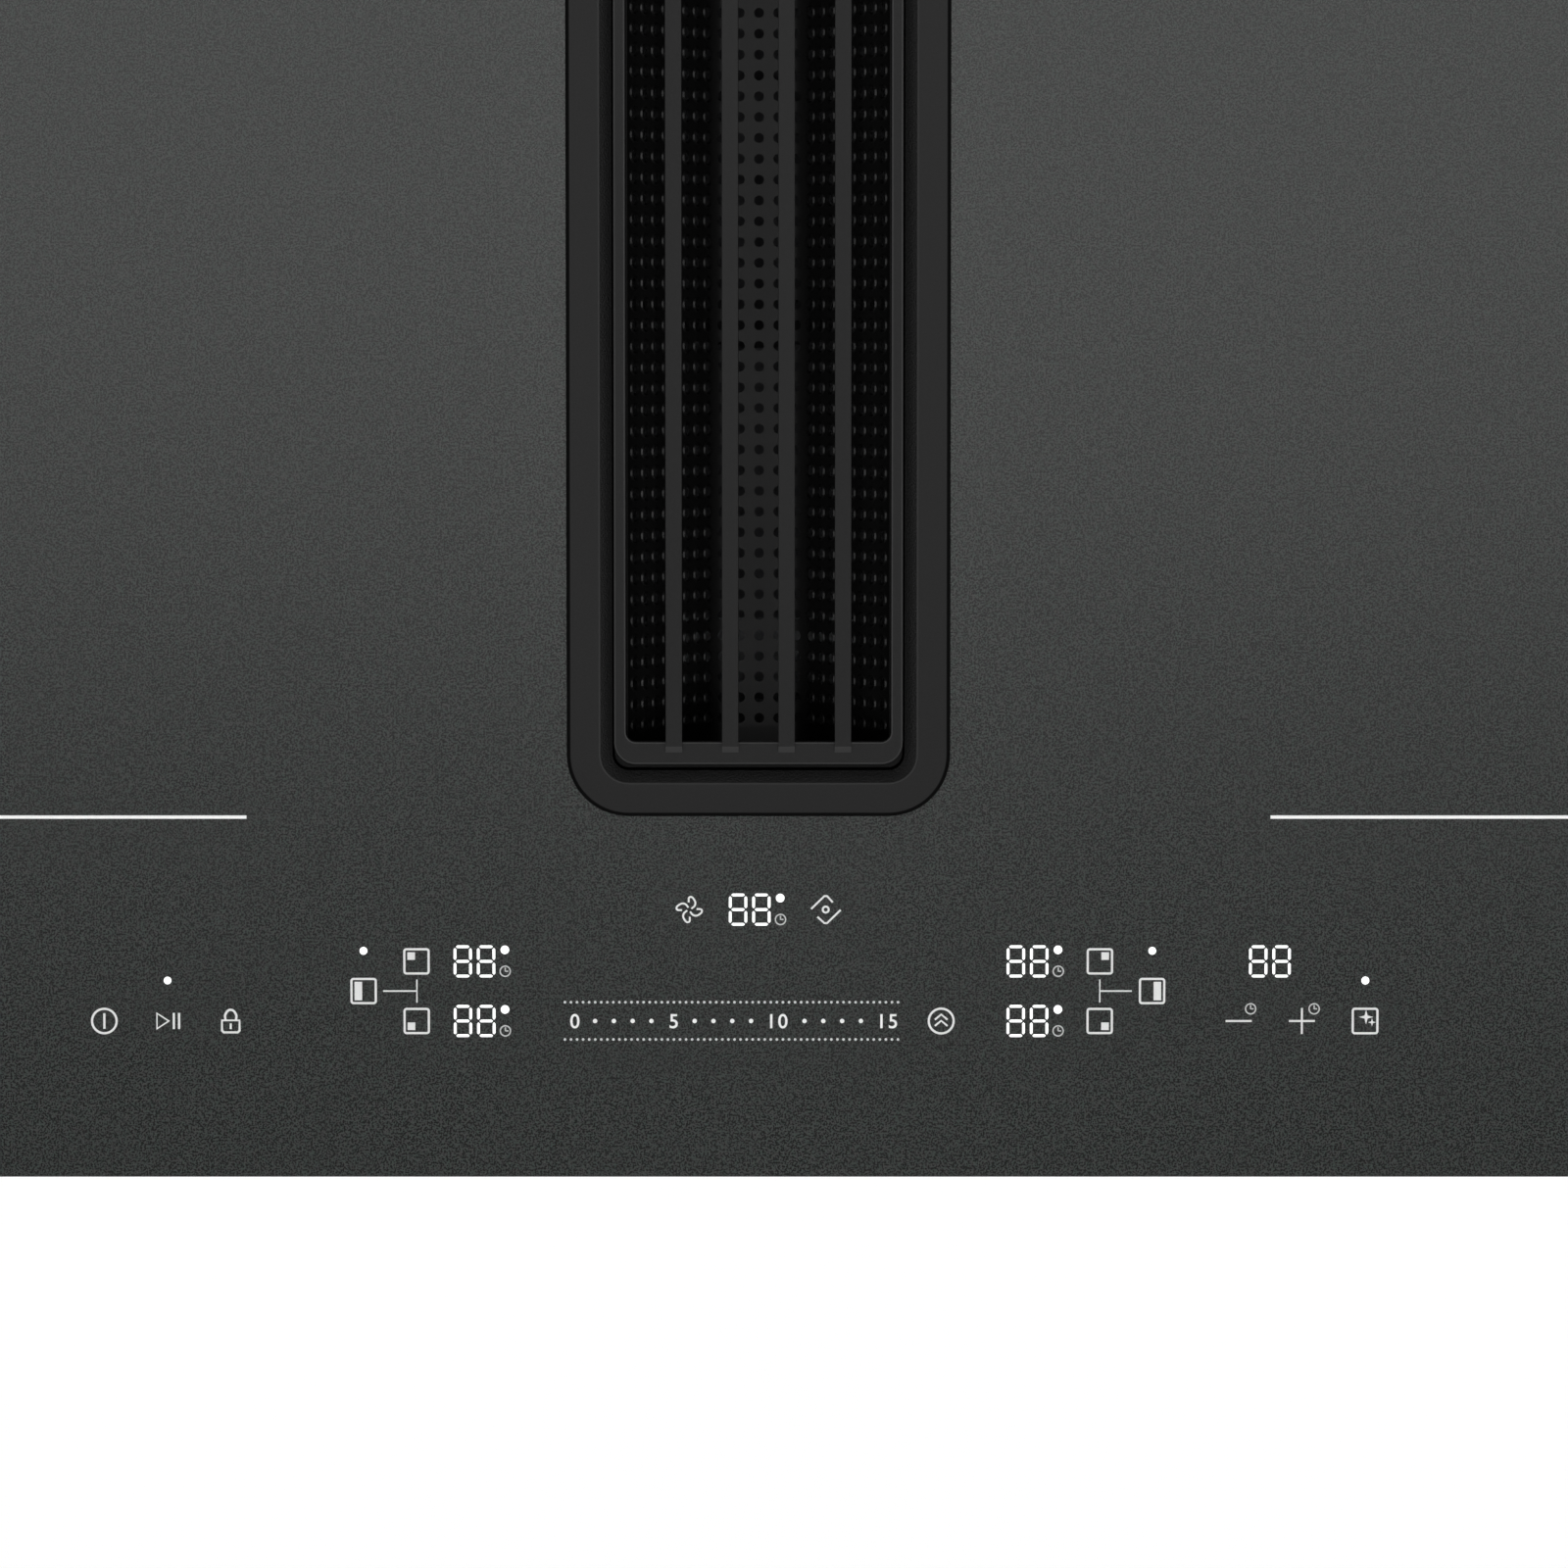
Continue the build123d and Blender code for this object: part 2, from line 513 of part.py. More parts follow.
def filter_trough():
    """A folded perforated sheet: two steep walls, a flat floor, closed ends and a lip all round."""
    lip_inset = COLLAR_INSET + COLLAR_WALL + TROUGH_SIDE_CLEARANCE
    mouth_inset = COLLAR_INSET + COLLAR_WALL + COLLAR_LIP_WIDTH + TROUGH_SIDE_CLEARANCE
    half_top = SLOT_WIDTH / 2 - mouth_inset
    half_floor = TROUGH_FLOOR_WIDTH / 2
    length = SLOT_LENGTH - 2 * mouth_inset
    floor = TROUGH_TOP - TROUGH_DEPTH
    wall_slope = hypot(half_top - half_floor, TROUGH_DEPTH)
    side_shift = TROUGH_SHEET * wall_slope / TROUGH_DEPTH
    floor_shift = TROUGH_SHEET * (wall_slope - (half_top - half_floor)) / TROUGH_DEPTH
    outer_points = trough_section(half_top, half_floor, TROUGH_TOP, floor)
    inner_points = trough_section(
        half_top - side_shift, half_floor - floor_shift, TROUGH_TOP, floor + TROUGH_SHEET
    )
    front = SLOT_CENTRE_Y - length / 2
    outer_face = Plane.XZ * make_face(Polyline(*outer_points, close=True))
    inner_face = Plane.XZ * make_face(Polyline(*inner_points, close=True))
    # Plane.XZ looks along -Y, so the extrusions run towards the front from the rear end.
    body = Pos(0, front + length, 0) * extrude(outer_face, length)
    body = body & slot_block(mouth_inset, floor, TROUGH_TOP)
    hollow = Pos(0, front + length - TROUGH_SHEET, 0) * extrude(inner_face, length - 2 * TROUGH_SHEET)
    hollow = hollow & slot_block(mouth_inset + TROUGH_SHEET, floor, TROUGH_TOP)
    lip = slot_block(lip_inset, TROUGH_TOP, TROUGH_TOP + TROUGH_SHEET)
    lip_mouth = slot_block(mouth_inset + side_shift, TROUGH_TOP, TROUGH_TOP + TROUGH_SHEET)
    body = body - hollow + (lip - lip_mouth)

    rows = int((length - HOLE_FRONT_MARGIN - HOLE_REAR_MARGIN) / HOLE_PITCH_ALONG) + 1
    row_places = [front + HOLE_FRONT_MARGIN + row * HOLE_PITCH_ALONG for row in range(rows)]
    cutter = extrude(Circle(HOLE_DIAMETER / 2), 3 * TROUGH_SHEET, both=True)
    holes = []
    for column in range(FLOOR_HOLE_COLUMNS):
        x = (column - (FLOOR_HOLE_COLUMNS - 1) / 2) * HOLE_PITCH_ACROSS
        holes += [Pos(x, y, floor) * cutter for y in row_places]
    body = body - holes
    wall_angle = degrees(atan2(TROUGH_DEPTH, half_top - half_floor))
    middle_x = (half_top + half_floor) / 2
    middle_z = TROUGH_TOP - TROUGH_DEPTH / 2
    for side in SIDES.values():
        holes = []
        for column in range(WALL_HOLE_COLUMNS):
            along = (column - (WALL_HOLE_COLUMNS - 1) / 2) * HOLE_PITCH_ACROSS
            x = side * (middle_x + along * cos(radians(wall_angle)))
            z = middle_z + along * sin(radians(wall_angle))
            holes += [Pos(x, y, z) * Rot(0, -side * wall_angle, 0) * cutter for y in row_places]
        body = body - holes
    return body


# ---------------------------------------------------------------- grille
def grille_ring():
    centre = (0, SLOT_CENTRE_Y)
    outer = plate(RING_WIDTH, RING_LENGTH, RING_OUTER_RADIUS, RING_BOTTOM, RING_TOP, centre)
    inner_width = RING_WIDTH - 2 * RING_SIDE_RAIL
    inner_length = RING_LENGTH - 2 * RING_END_RAIL
    inner = plate(inner_width, inner_length, RING_INNER_RADIUS, RING_BOTTOM, RING_TOP, centre)
    ring = outer - inner
    return fillet(ring.faces().sort_by(Axis.Z)[-1].edges(), RING_EDGE_RADIUS)


def grille_bars():
    """Each bar fills the space between the end rails and laps over both of them."""
    inner_width = RING_WIDTH - 2 * RING_SIDE_RAIL
    pitch = (inner_width + BAR_WIDTH) / (BAR_COUNT + 1)
    low_length = RING_LENGTH - 2 * RING_END_RAIL - 2 * BAR_FIT
    top_length = RING_LENGTH - 2 * BAR_END_INSET
    bars = []
    for index in range(BAR_COUNT):
        x = (index - (BAR_COUNT - 1) / 2) * pitch
        centre = (x, SLOT_CENTRE_Y)
        top = block(BAR_WIDTH, top_length, RING_TOP, BAR_TOP, centre)
        end_edges = top.faces().sort_by(Axis.Z)[-1].edges().filter_by(Axis.X)
        top = chamfer(end_edges, BAR_END_CHAMFER)
        bars.append(top + block(BAR_WIDTH, low_length, RING_BOTTOM, RING_TOP, centre))
    return bars


def grille_pads():
    x = (RING_WIDTH - RING_SIDE_RAIL) / 2
    spread = (RING_LENGTH - 4 * RING_OUTER_RADIUS - PAD_LENGTH) / (PADS_PER_SIDE - 1)
    pads = []
    for side in SIDES.values():
        for index in range(PADS_PER_SIDE):
            y = SLOT_CENTRE_Y + (index - (PADS_PER_SIDE - 1) / 2) * spread
            low = RING_BOTTOM - PAD_HEIGHT
            pads.append(block(PAD_WIDTH, PAD_LENGTH, low, RING_BOTTOM, (side * x, y)))
    return pads


# ---------------------------------------------------------------- air well
def well_screw_places():
    """Eight places on the flange, outside the well's box."""
    x = WELL_BOX_WIDTH / 2 + WELL_FLANGE_OVERHANG / 2
    places = []
    for side in SIDES.values():
        for step in (-1.5, -0.5, 0.5, 1.5):
            places.append((side * x, SLOT_CENTRE_Y + step * WELL_LENGTH / 4))
    return places


def inlet_screw_places():
    """Four places round the blower's inlet, through the floor of the well."""
    radius = INLET_RADIUS + 2 * SCREW_HEAD_RADIUS + WELL_WALL
    return [polar(radius, angle, (0, BLOWER_Y)) for angle in (50, 130, 230, 310)]


def drain_centre():
    return (0, WELL_FRONT_Y + DRAIN_FROM_FRONT)


def well_housing():
    """A tube below the slot that widens, under the pan, into a box with the blower inlet in its floor."""
    centre = (0, SLOT_CENTRE_Y)
    length = WELL_LENGTH
    inner_length = length - 2 * WELL_WALL
    box_inner = WELL_BOX_WIDTH - 2 * WELL_WALL
    flange_width = WELL_BOX_WIDTH + 2 * WELL_FLANGE_OVERHANG
    box = plate(WELL_BOX_WIDTH, length, WELL_CORNER_RADIUS, WELL_BOTTOM, PAN_BOTTOM, centre)
    flange = plate(flange_width, length, WELL_CORNER_RADIUS, WELL_FLANGE_BOTTOM, PAN_BOTTOM, centre)
    floor = WELL_BOTTOM + WELL_WALL
    hollow = plate(box_inner, inner_length, WELL_CORNER_RADIUS, floor, WELL_FLANGE_BOTTOM, centre)
    collar = disc(INLET_RADIUS + WELL_WALL, floor, floor + INLET_COLLAR_HEIGHT, (0, BLOWER_Y))
    body = box + flange - hollow + slot_block(WELL_OUTER_INSET, PAN_BOTTOM, WELL_TOP) + collar
    body = body - slot_block(WELL_INSET, WELL_FLANGE_BOTTOM, WELL_TOP)
    body = body - disc(INLET_RADIUS, WELL_BOTTOM, floor + INLET_COLLAR_HEIGHT, (0, BLOWER_Y))
    body = body - block(DRAIN_LENGTH, DRAIN_WIDTH, WELL_BOTTOM, floor, drain_centre())
    body = body - [screw_hole(x, y, WELL_FLANGE_BOTTOM, PAN_BOTTOM) for x, y in well_screw_places()]
    body = body - [screw_hole(x, y, WELL_BOTTOM, floor) for x, y in inlet_screw_places()]
    return body + cup_rails()


def cup_rails():
    """Two rails on the well's underside; the drip cup's rim slides along them."""
    x, y = drain_centre()
    hook_top = WELL_BOTTOM - CUP_CLEARANCE - CUP_RIM_THICKNESS - CUP_CLEARANCE
    bottom = hook_top - RAIL_THICKNESS
    wall_inner = CUP_WIDTH / 2 + CUP_RIM + CUP_CLEARANCE
    hook_inner = CUP_WIDTH / 2 + CUP_CLEARANCE
    hook_width = wall_inner - hook_inner + RAIL_THICKNESS
    rails = []
    for side in SIDES.values():
        wall_x = x + side * (wall_inner + RAIL_THICKNESS / 2)
        hook_x = x + side * (hook_inner + hook_width / 2)
        rails.append(block(RAIL_THICKNESS, CUP_DEPTH, bottom, WELL_BOTTOM, (wall_x, y)))
        rails.append(block(hook_width, CUP_DEPTH, bottom, hook_top, (hook_x, y)))
    return rails


def well_seal():
    outer = slot_block(WELL_OUTER_INSET, WELL_TOP, GLASS_BOTTOM)
    return outer - slot_block(WELL_INSET, WELL_TOP, GLASS_BOTTOM)


def drip_cup():
    """A cup under the drain, held by the rails that its rim slides between."""
    centre = drain_centre()
    top = WELL_BOTTOM - CUP_CLEARANCE
    bottom = top - CUP_HEIGHT
    body = block(CUP_WIDTH, CUP_DEPTH, bottom, top, centre)
    rim_width = CUP_WIDTH + 2 * CUP_RIM
    rim = block(rim_width, CUP_DEPTH, top - CUP_RIM_THICKNESS, top, centre)
    inner = block(CUP_WIDTH - 2 * CUP_WALL, CUP_DEPTH - 2 * CUP_WALL, bottom + CUP_WALL, top, centre)
    return body + rim - inner


# ---------------------------------------------------------------- base pan
def base_pan():
    inner_width = PAN_WIDTH - 2 * PAN_SHEET
    inner_depth = PAN_DEPTH - 2 * PAN_SHEET
    flange_bottom = GLASS_BOTTOM - PAN_SHEET
    body = plate(PAN_WIDTH, PAN_DEPTH, PAN_CORNER_RADIUS, PAN_BOTTOM, GLASS_BOTTOM)
    inner_radius = PAN_CORNER_RADIUS - PAN_SHEET
    body = body - plate(inner_width, inner_depth, inner_radius, PAN_FLOOR, flange_bottom)
    mouth = plate(PAN_MOUTH_WIDTH, PAN_MOUTH_DEPTH, inner_radius, flange_bottom, GLASS_BOTTOM)
    body = body - mouth
    body = body - slot_block(WELL_OUTER_INSET - PAN_WELL_CLEARANCE, PAN_BOTTOM, PAN_FLOOR)
    cuts = []
    for side in SIDES.values():
        cuts.append(disc(FAN_INLET_RADIUS, PAN_BOTTOM, PAN_FLOOR, (side * HEATSINK_CENTRE_X, FAN_CENTRE_Y)))
        for index in range(VENT_COUNT):
            x = side * (VENT_CENTRE_X + (index - (VENT_COUNT - 1) / 2) * VENT_PITCH)
            y = -(PAN_DEPTH - VENT_LENGTH) / 2 + PAN_FLANGE
            cuts.append(block(VENT_WIDTH, VENT_LENGTH, PAN_BOTTOM, PAN_FLOOR, (x, y)))
    hatch = hatch_centre()
    cuts.append(block(TERMINAL_WIDTH, HATCH_DEPTH, PAN_BOTTOM, PAN_FLOOR, hatch))
    gland = Pos(GLAND_X, PAN_DEPTH / 2, GLAND_Z) * Rot(90, 0, 0)
    cuts.append(gland * Cylinder(GLAND_THREAD_RADIUS + GLAND_CLEARANCE, 4 * PAN_SHEET))
    cuts += [screw_hole(x, y, PAN_BOTTOM, PAN_FLOOR) for x, y in well_screw_places()]
    cuts += [screw_hole(x, y, PAN_BOTTOM, PAN_FLOOR) for x, y in cover_screw_places()]
    return body - cuts


def hatch_centre():
    """The access hatch in the pan's floor, just in front of the terminal block."""
    y = TERMINAL_CENTRE_Y - TERMINAL_DEPTH / 2 - HATCH_GAP - HATCH_DEPTH / 2
    return (TERMINAL_CENTRE_X, y)


def cover_screw_places():
    x, y = hatch_centre()
    reach = TERMINAL_WIDTH / 2 + HATCH_COVER_LAP / 2
    return [(x - reach, y), (x + reach, y)]


def terminal_cover():
    width = TERMINAL_WIDTH + 2 * HATCH_COVER_LAP
    depth = HATCH_DEPTH + 2 * HATCH_COVER_LAP
    low = PAN_BOTTOM - HATCH_COVER_SHEET
    cover = plate(width, depth, MIN_CORNER_RADIUS, low, PAN_BOTTOM, hatch_centre())
    return cover - [screw_hole(x, y, low, PAN_BOTTOM) for x, y in cover_screw_places()]


def terminal_block():
    centre = (TERMINAL_CENTRE_X, TERMINAL_CENTRE_Y)
    top = PAN_FLOOR + TERMINAL_HEIGHT
    body = block(TERMINAL_WIDTH, TERMINAL_DEPTH, PAN_FLOOR, top, centre)
    pitch = TERMINAL_WIDTH / TERMINAL_POLES
    wells = []
    for pole in range(TERMINAL_POLES):
        x = TERMINAL_CENTRE_X + (pole - (TERMINAL_POLES - 1) / 2) * pitch
        wells.append(disc(TERMINAL_POLE_RADIUS, top - TERMINAL_HEIGHT / 2, top, (x, TERMINAL_CENTRE_Y)))
    return body - wells


def cable_gland():
    """A threaded sleeve through the pan's rear wall, clamped between its head and its nut."""
    wall_outer = PAN_DEPTH / 2
    wall_inner = wall_outer - PAN_SHEET
    frame = Pos(GLAND_X, 0, GLAND_Z) * Rot(-90, 0, 0)
    head_length = GLAND_LENGTH - GLAND_NUT_LENGTH - PAN_SHEET - GLAND_TAIL
    sleeve_low = wall_inner - GLAND_NUT_LENGTH - GLAND_TAIL
    sleeve = disc(GLAND_THREAD_RADIUS, sleeve_low, wall_outer)
    nut = disc(GLAND_NUT_RADIUS, wall_inner - GLAND_NUT_LENGTH, wall_inner)
    head = disc(GLAND_NUT_RADIUS, wall_outer, wall_outer + head_length)
    bore = disc(GLAND_BORE_RADIUS, sleeve_low, wall_outer + head_length)
    return frame * (sleeve + nut + head - bore)


# ---------------------------------------------------------------- fixing brackets
def bracket_places():
    """The side and the Y of each bracket on the pan's side walls."""
    return [(side, row * BRACKET_SPREAD_Y / 2) for side in SIDES.values() for row in ROWS.values()]


def fixing_brackets():
    """Angles on the pan's sides: the foot goes under the worktop and is screwed up into it."""
    foot_top = -WORKTOP_THICKNESS
    foot_bottom = foot_top - BRACKET_SHEET
    brackets = []
    for side, y in bracket_places():
        wall = PAN_WIDTH / 2
        leg_centre = (side * (wall + BRACKET_SHEET / 2), y)
        leg = block(BRACKET_SHEET, BRACKET_WIDTH, foot_bottom, foot_top + BRACKET_LEG, leg_centre)
        foot_centre = (side * (wall + BRACKET_FOOT / 2), y)
        foot = block(BRACKET_FOOT, BRACKET_WIDTH, foot_bottom, foot_top, foot_centre)
        hole_centre = (side * (wall + BRACKET_HOLE_FROM_WALL), y)
        hole = disc(BRACKET_HOLE_RADIUS, foot_bottom, foot_top, hole_centre)
        brackets.append(leg + foot - hole)
    return brackets


# ---------------------------------------------------------------- cooking zones
def zone_centre(side, row):
    return (SIDES[side] * COIL_X, SLOT_CENTRE_Y + ROWS[row] * COIL_Y_SPREAD)


def coil(centre):
    ring = disc(COIL_RADIUS, COIL_BOTTOM, INSULATION_BOTTOM, centre)
    return ring - disc(COIL_INNER_RADIUS, COIL_BOTTOM, INSULATION_BOTTOM, centre)


def ferrite_bars(centre, clearance):
    """Bars set like spokes under a coil; with a clearance, the pockets that they lie in."""
    middle = (COIL_INNER_RADIUS + COIL_RADIUS) / 2
    length = FERRITE_LENGTH + 2 * clearance
    width = FERRITE_WIDTH + 2 * clearance
    bars = []
    for index in range(FERRITES_PER_COIL):
        angle = index * 360 / FERRITES_PER_COIL
        x, y = polar(middle, angle, centre)
        bar = extrude(Rectangle(length, width), FORMER_HEIGHT)
        bars.append(Pos(x, y, FORMER_BOTTOM) * Rot(0, 0, angle) * bar)
    return bars


def coil_former(centre):
    body = disc(FORMER_RADIUS, FORMER_BOTTOM, COIL_BOTTOM, centre)
    body = body - disc(FORMER_BORE_RADIUS, FORMER_BOTTOM, COIL_BOTTOM, centre)
    return body - ferrite_bars(centre, FERRITE_CLEARANCE)


def temperature_sensor(centre):
    return disc(SENSOR_RADIUS, FORMER_BOTTOM, INSULATION_BOTTOM, centre)


def side_plate(side, low, high):
    centre = (SIDES[side] * COIL_PLATE_CENTRE_X, SLOT_CENTRE_Y)
    return plate(COIL_PLATE_WIDTH, COIL_PLATE_DEPTH, MIN_CORNER_RADIUS, low, high, centre)


def post_places():
    """The corners at which each coil plate is sprung off the pan."""
    reach_x = COIL_PLATE_WIDTH / 2 - POST_INSET_X
    reach_y = COIL_PLATE_DEPTH / 2 - POST_INSET_Y
    places = []
    for side in SIDES.values():
        for across in (-1, 1):
            for row in ROWS.values():
                x = side * COIL_PLATE_CENTRE_X + across * reach_x
                places.append((x, SLOT_CENTRE_Y + row * reach_y))
    return places


def plate_posts():
    return [disc(POST_RADIUS, PAN_FLOOR, SPRING_BOTTOM, place) for place in post_places()]


def plate_springs():
    """Bent strips between the posts and the coil plates, which press the coils to the glass."""
    half = SPRING_LENGTH / 2
    sheet = SPRING_STRIP
    outline = Polyline(
        (-half, 0),
        (POST_RADIUS, 0),
        (half, SPRING_HEIGHT - sheet),
        (half, SPRING_HEIGHT),
        (-POST_RADIUS, SPRING_HEIGHT),
        (-POST_RADIUS, SPRING_HEIGHT - sheet),
        (half - 3 * sheet, SPRING_HEIGHT - sheet),
        (POST_RADIUS - sheet, sheet),
        (-half, sheet),
        close=True,
    )
    strip = extrude(Plane.XZ * make_face(outline), SPRING_WIDTH / 2, both=True)
    return [Pos(x, y, SPRING_BOTTOM) * strip for x, y in post_places()]


# ---------------------------------------------------------------- power electronics
def board_centre(side):
    return (SIDES[side] * BOARD_CENTRE_X, BOARD_CENTRE_Y)


def power_board(side):
    return block(BOARD_WIDTH, BOARD_DEPTH, BOARD_BOTTOM, BOARD_TOP, board_centre(side))


def board_standoffs():
    posts = []
    for side in SIDES:
        x, y = board_centre(side)
        for across in (-1, 1):
            for row in ROWS.values():
                post_x = x + across * (BOARD_WIDTH / 2 - STANDOFF_INSET)
                post_y = y + row * (BOARD_DEPTH / 2 - STANDOFF_INSET)
                posts.append(disc(STANDOFF_RADIUS, PAN_FLOOR, BOARD_BOTTOM, (post_x, post_y)))
    return posts


def heatsink(side):
    """A finned extrusion that lies along the cooling fan's air stream."""
    centre_x = SIDES[side] * HEATSINK_CENTRE_X
    top = BOARD_TOP + HEATSINK_HEIGHT
    base_top = BOARD_TOP + HEATSINK_BASE
    centre = (centre_x, BOARD_CENTRE_Y)
    body = block(HEATSINK_WIDTH, HEATSINK_LENGTH, BOARD_TOP, base_top, centre)
    pitch = (HEATSINK_WIDTH - HEATSINK_FIN) / (HEATSINK_FINS - 1)
    fins = []
    for index in range(HEATSINK_FINS):
        x = centre_x + (index - (HEATSINK_FINS - 1) / 2) * pitch
        fins.append(block(HEATSINK_FIN, HEATSINK_LENGTH, base_top, top, (x, BOARD_CENTRE_Y)))
    return body + fins


def capacitors():
    cans = []
    for side in SIDES.values():
        for step in (-1, 0, 1):
            centre = (side * CAPACITOR_X, BOARD_CENTRE_Y + step * CAPACITOR_PITCH)
            cans.append(disc(CAPACITOR_RADIUS, BOARD_TOP, BOARD_TOP + CAPACITOR_HEIGHT, centre))
    return cans


def chokes():
    rings = []
    for side in SIDES.values():
        for row in ROWS.values():
            centre = (side * CHOKE_X, BOARD_CENTRE_Y + row * (CHOKE_RADIUS + CHOKE_BORE_RADIUS))
            ring = disc(CHOKE_RADIUS, BOARD_TOP, BOARD_TOP + CHOKE_HEIGHT, centre)
            rings.append(ring - disc(CHOKE_BORE_RADIUS, BOARD_TOP, BOARD_TOP + CHOKE_HEIGHT, centre))
    return rings


def fan_centre(side):
    return (SIDES[side] * HEATSINK_CENTRE_X, FAN_CENTRE_Y)


def fan_levels():
    """The floor and the ceiling inside a cooling fan's housing."""
    return PAN_FLOOR + FAN_WALL, PAN_FLOOR + FAN_HEIGHT - FAN_WALL


def cooling_fan_housing(side):
    """A flat box with a round cavity: air comes in below and leaves towards the heatsink."""
    x, y = fan_centre(side)
    floor, ceiling = fan_levels()
    body = block(FAN_SIZE, FAN_SIZE, PAN_FLOOR, PAN_FLOOR + FAN_HEIGHT, (x, y))
    cavity = disc(FAN_CAVITY_RADIUS, floor, ceiling, (x, y))
    outlet = block(FAN_OUTLET_WIDTH, FAN_SIZE / 2, floor, ceiling, (x, y - FAN_SIZE / 4))
    inlet = disc(FAN_INLET_RADIUS, PAN_FLOOR, floor, (x, y))
    pin = disc(FAN_PIN_RADIUS, floor, ceiling, (x, y))
    return body - cavity - outlet - inlet + pin


def cooling_fan_rotor(side):
    """A hub that runs on the housing's pin, a disc and straight blades."""
    x, y = fan_centre(side)
    floor, ceiling = fan_levels()
    low = floor + FAN_GAP
    high = ceiling - FAN_GAP
    body = disc(FAN_HUB_RADIUS, low, high, (x, y))
    body = body + disc(FAN_ROTOR_RADIUS, high - FAN_BLADE_SHEET, high, (x, y))
    blades = []
    for index in range(FAN_BLADES):
        angle = index * 360 / FAN_BLADES
        middle = polar(FAN_ROTOR_RADIUS - FAN_BLADE_CHORD / 2 - FAN_BLADE_SHEET, angle, (x, y))
        blade = extrude(Rectangle(FAN_BLADE_CHORD, FAN_BLADE_SHEET), high - low)
        blades.append(Pos(middle[0], middle[1], low) * Rot(0, 0, angle + IMPELLER_BLADE_TURN) * blade)
    body = body + blades
    return body - disc(FAN_PIN_RADIUS + RUNNING_CLEARANCE, low, high, (x, y))


# ---------------------------------------------------------------- controls
def control_board():
    centre = (0, CONTROL_CENTRE_Y)
    return block(CONTROL_BOARD_WIDTH, CONTROL_BOARD_DEPTH, CARRIER_TOP, CONTROL_BOARD_TOP, centre)


def control_carrier():
    """A tray on legs that holds the control board up under the glass."""
    centre = (0, CONTROL_CENTRE_Y)
    body = block(CARRIER_WIDTH, CARRIER_DEPTH, CARRIER_BOTTOM, CARRIER_TOP, centre)
    legs = []
    reach_x = CARRIER_WIDTH / 2 - 2 * STANDOFF_RADIUS
    reach_y = CARRIER_DEPTH / 2 - 2 * STANDOFF_RADIUS
    for index in range(CARRIER_LEGS_PER_ROW):
        x = -reach_x + index * 2 * reach_x / (CARRIER_LEGS_PER_ROW - 1)
        for row in ROWS.values():
            place = (x, CONTROL_CENTRE_Y + row * reach_y)
            legs.append(disc(STANDOFF_RADIUS, PAN_FLOOR, CARRIER_BOTTOM, place))
    return body + legs


def touch_springs():
    """Tubes that carry each key's field from the board to the glass."""
    first = SLIDER_CENTRE_X - (SLIDER_KEY_COUNT - 1) * SLIDER_KEY_PITCH / 2
    slider = [(first + index * SLIDER_KEY_PITCH, KEY_ROW_Y) for index in range(SLIDER_KEY_COUNT)]
    springs = []
    for place in KEY_PLACES + slider:
        tube = disc(TOUCH_SPRING_RADIUS, CONTROL_BOARD_TOP, GLASS_BOTTOM, place)
        bore = disc(TOUCH_SPRING_RADIUS - TOUCH_SPRING_WALL, CONTROL_BOARD_TOP, GLASS_BOTTOM, place)
        springs.append(tube - bore)
    return springs


def digit_displays():
    top = GLASS_BOTTOM - DISPLAY_GAP
    return [block(DISPLAY_WIDTH, DISPLAY_DEPTH, CONTROL_BOARD_TOP, top, place) for place in DISPLAY_PLACES]


# ---------------------------------------------------------------- blower
def scroll_point(share, outwards=0.0):
    """A point of the spiral wall, from its tongue (0) to its end on the right side (1)."""
    radius = SCROLL_START_RADIUS + share * (SCROLL_END_RADIUS - SCROLL_START_RADIUS) + outwards
    angle = SCROLL_START_ANGLE + share * (360 - SCROLL_START_ANGLE)
    return polar(radius, angle, (0, BLOWER_Y))


def scroll_outline(inset):
    """The blower's plan: a spiral that opens from its tongue round to a straight outlet."""
    left = (OUTLET_LEFT_X, OUTLET_END_Y)
    left_bend = (OUTLET_LEFT_X, OUTLET_END_Y - OUTLET_STRAIGHT)
    right = (OUTLET_RIGHT_X, OUTLET_END_Y)
    edges = [
        ThreePointArc(scroll_point(0), scroll_point(0.25), scroll_point(0.5)),
        ThreePointArc(scroll_point(0.5), scroll_point(0.75), scroll_point(1)),
        Line(scroll_point(1), right),
        Line(right, left),
        Line(left, left_bend),
        Line(left_bend, scroll_point(0)),
    ]
    outline = make_face(edges)
    return offset(outline, -inset) if inset else outline


def ear_places():
    """Where the two blower shells are screwed together, outside their walls."""
    reach = SCREW_HEAD_RADIUS + EAR_HEAD_GAP
    places = [scroll_point(share, reach) for share in (0.15, 0.5, 0.85)]
    places.append((OUTLET_RIGHT_X + reach, OUTLET_END_Y - 3 * EAR_RADIUS))
    return places


def motor_screw_places():
    radius = MOTOR_RADIUS + MOTOR_FLANGE / 2
    return [polar(radius, angle, (0, BLOWER_Y)) for angle in (90, 210, 330)]


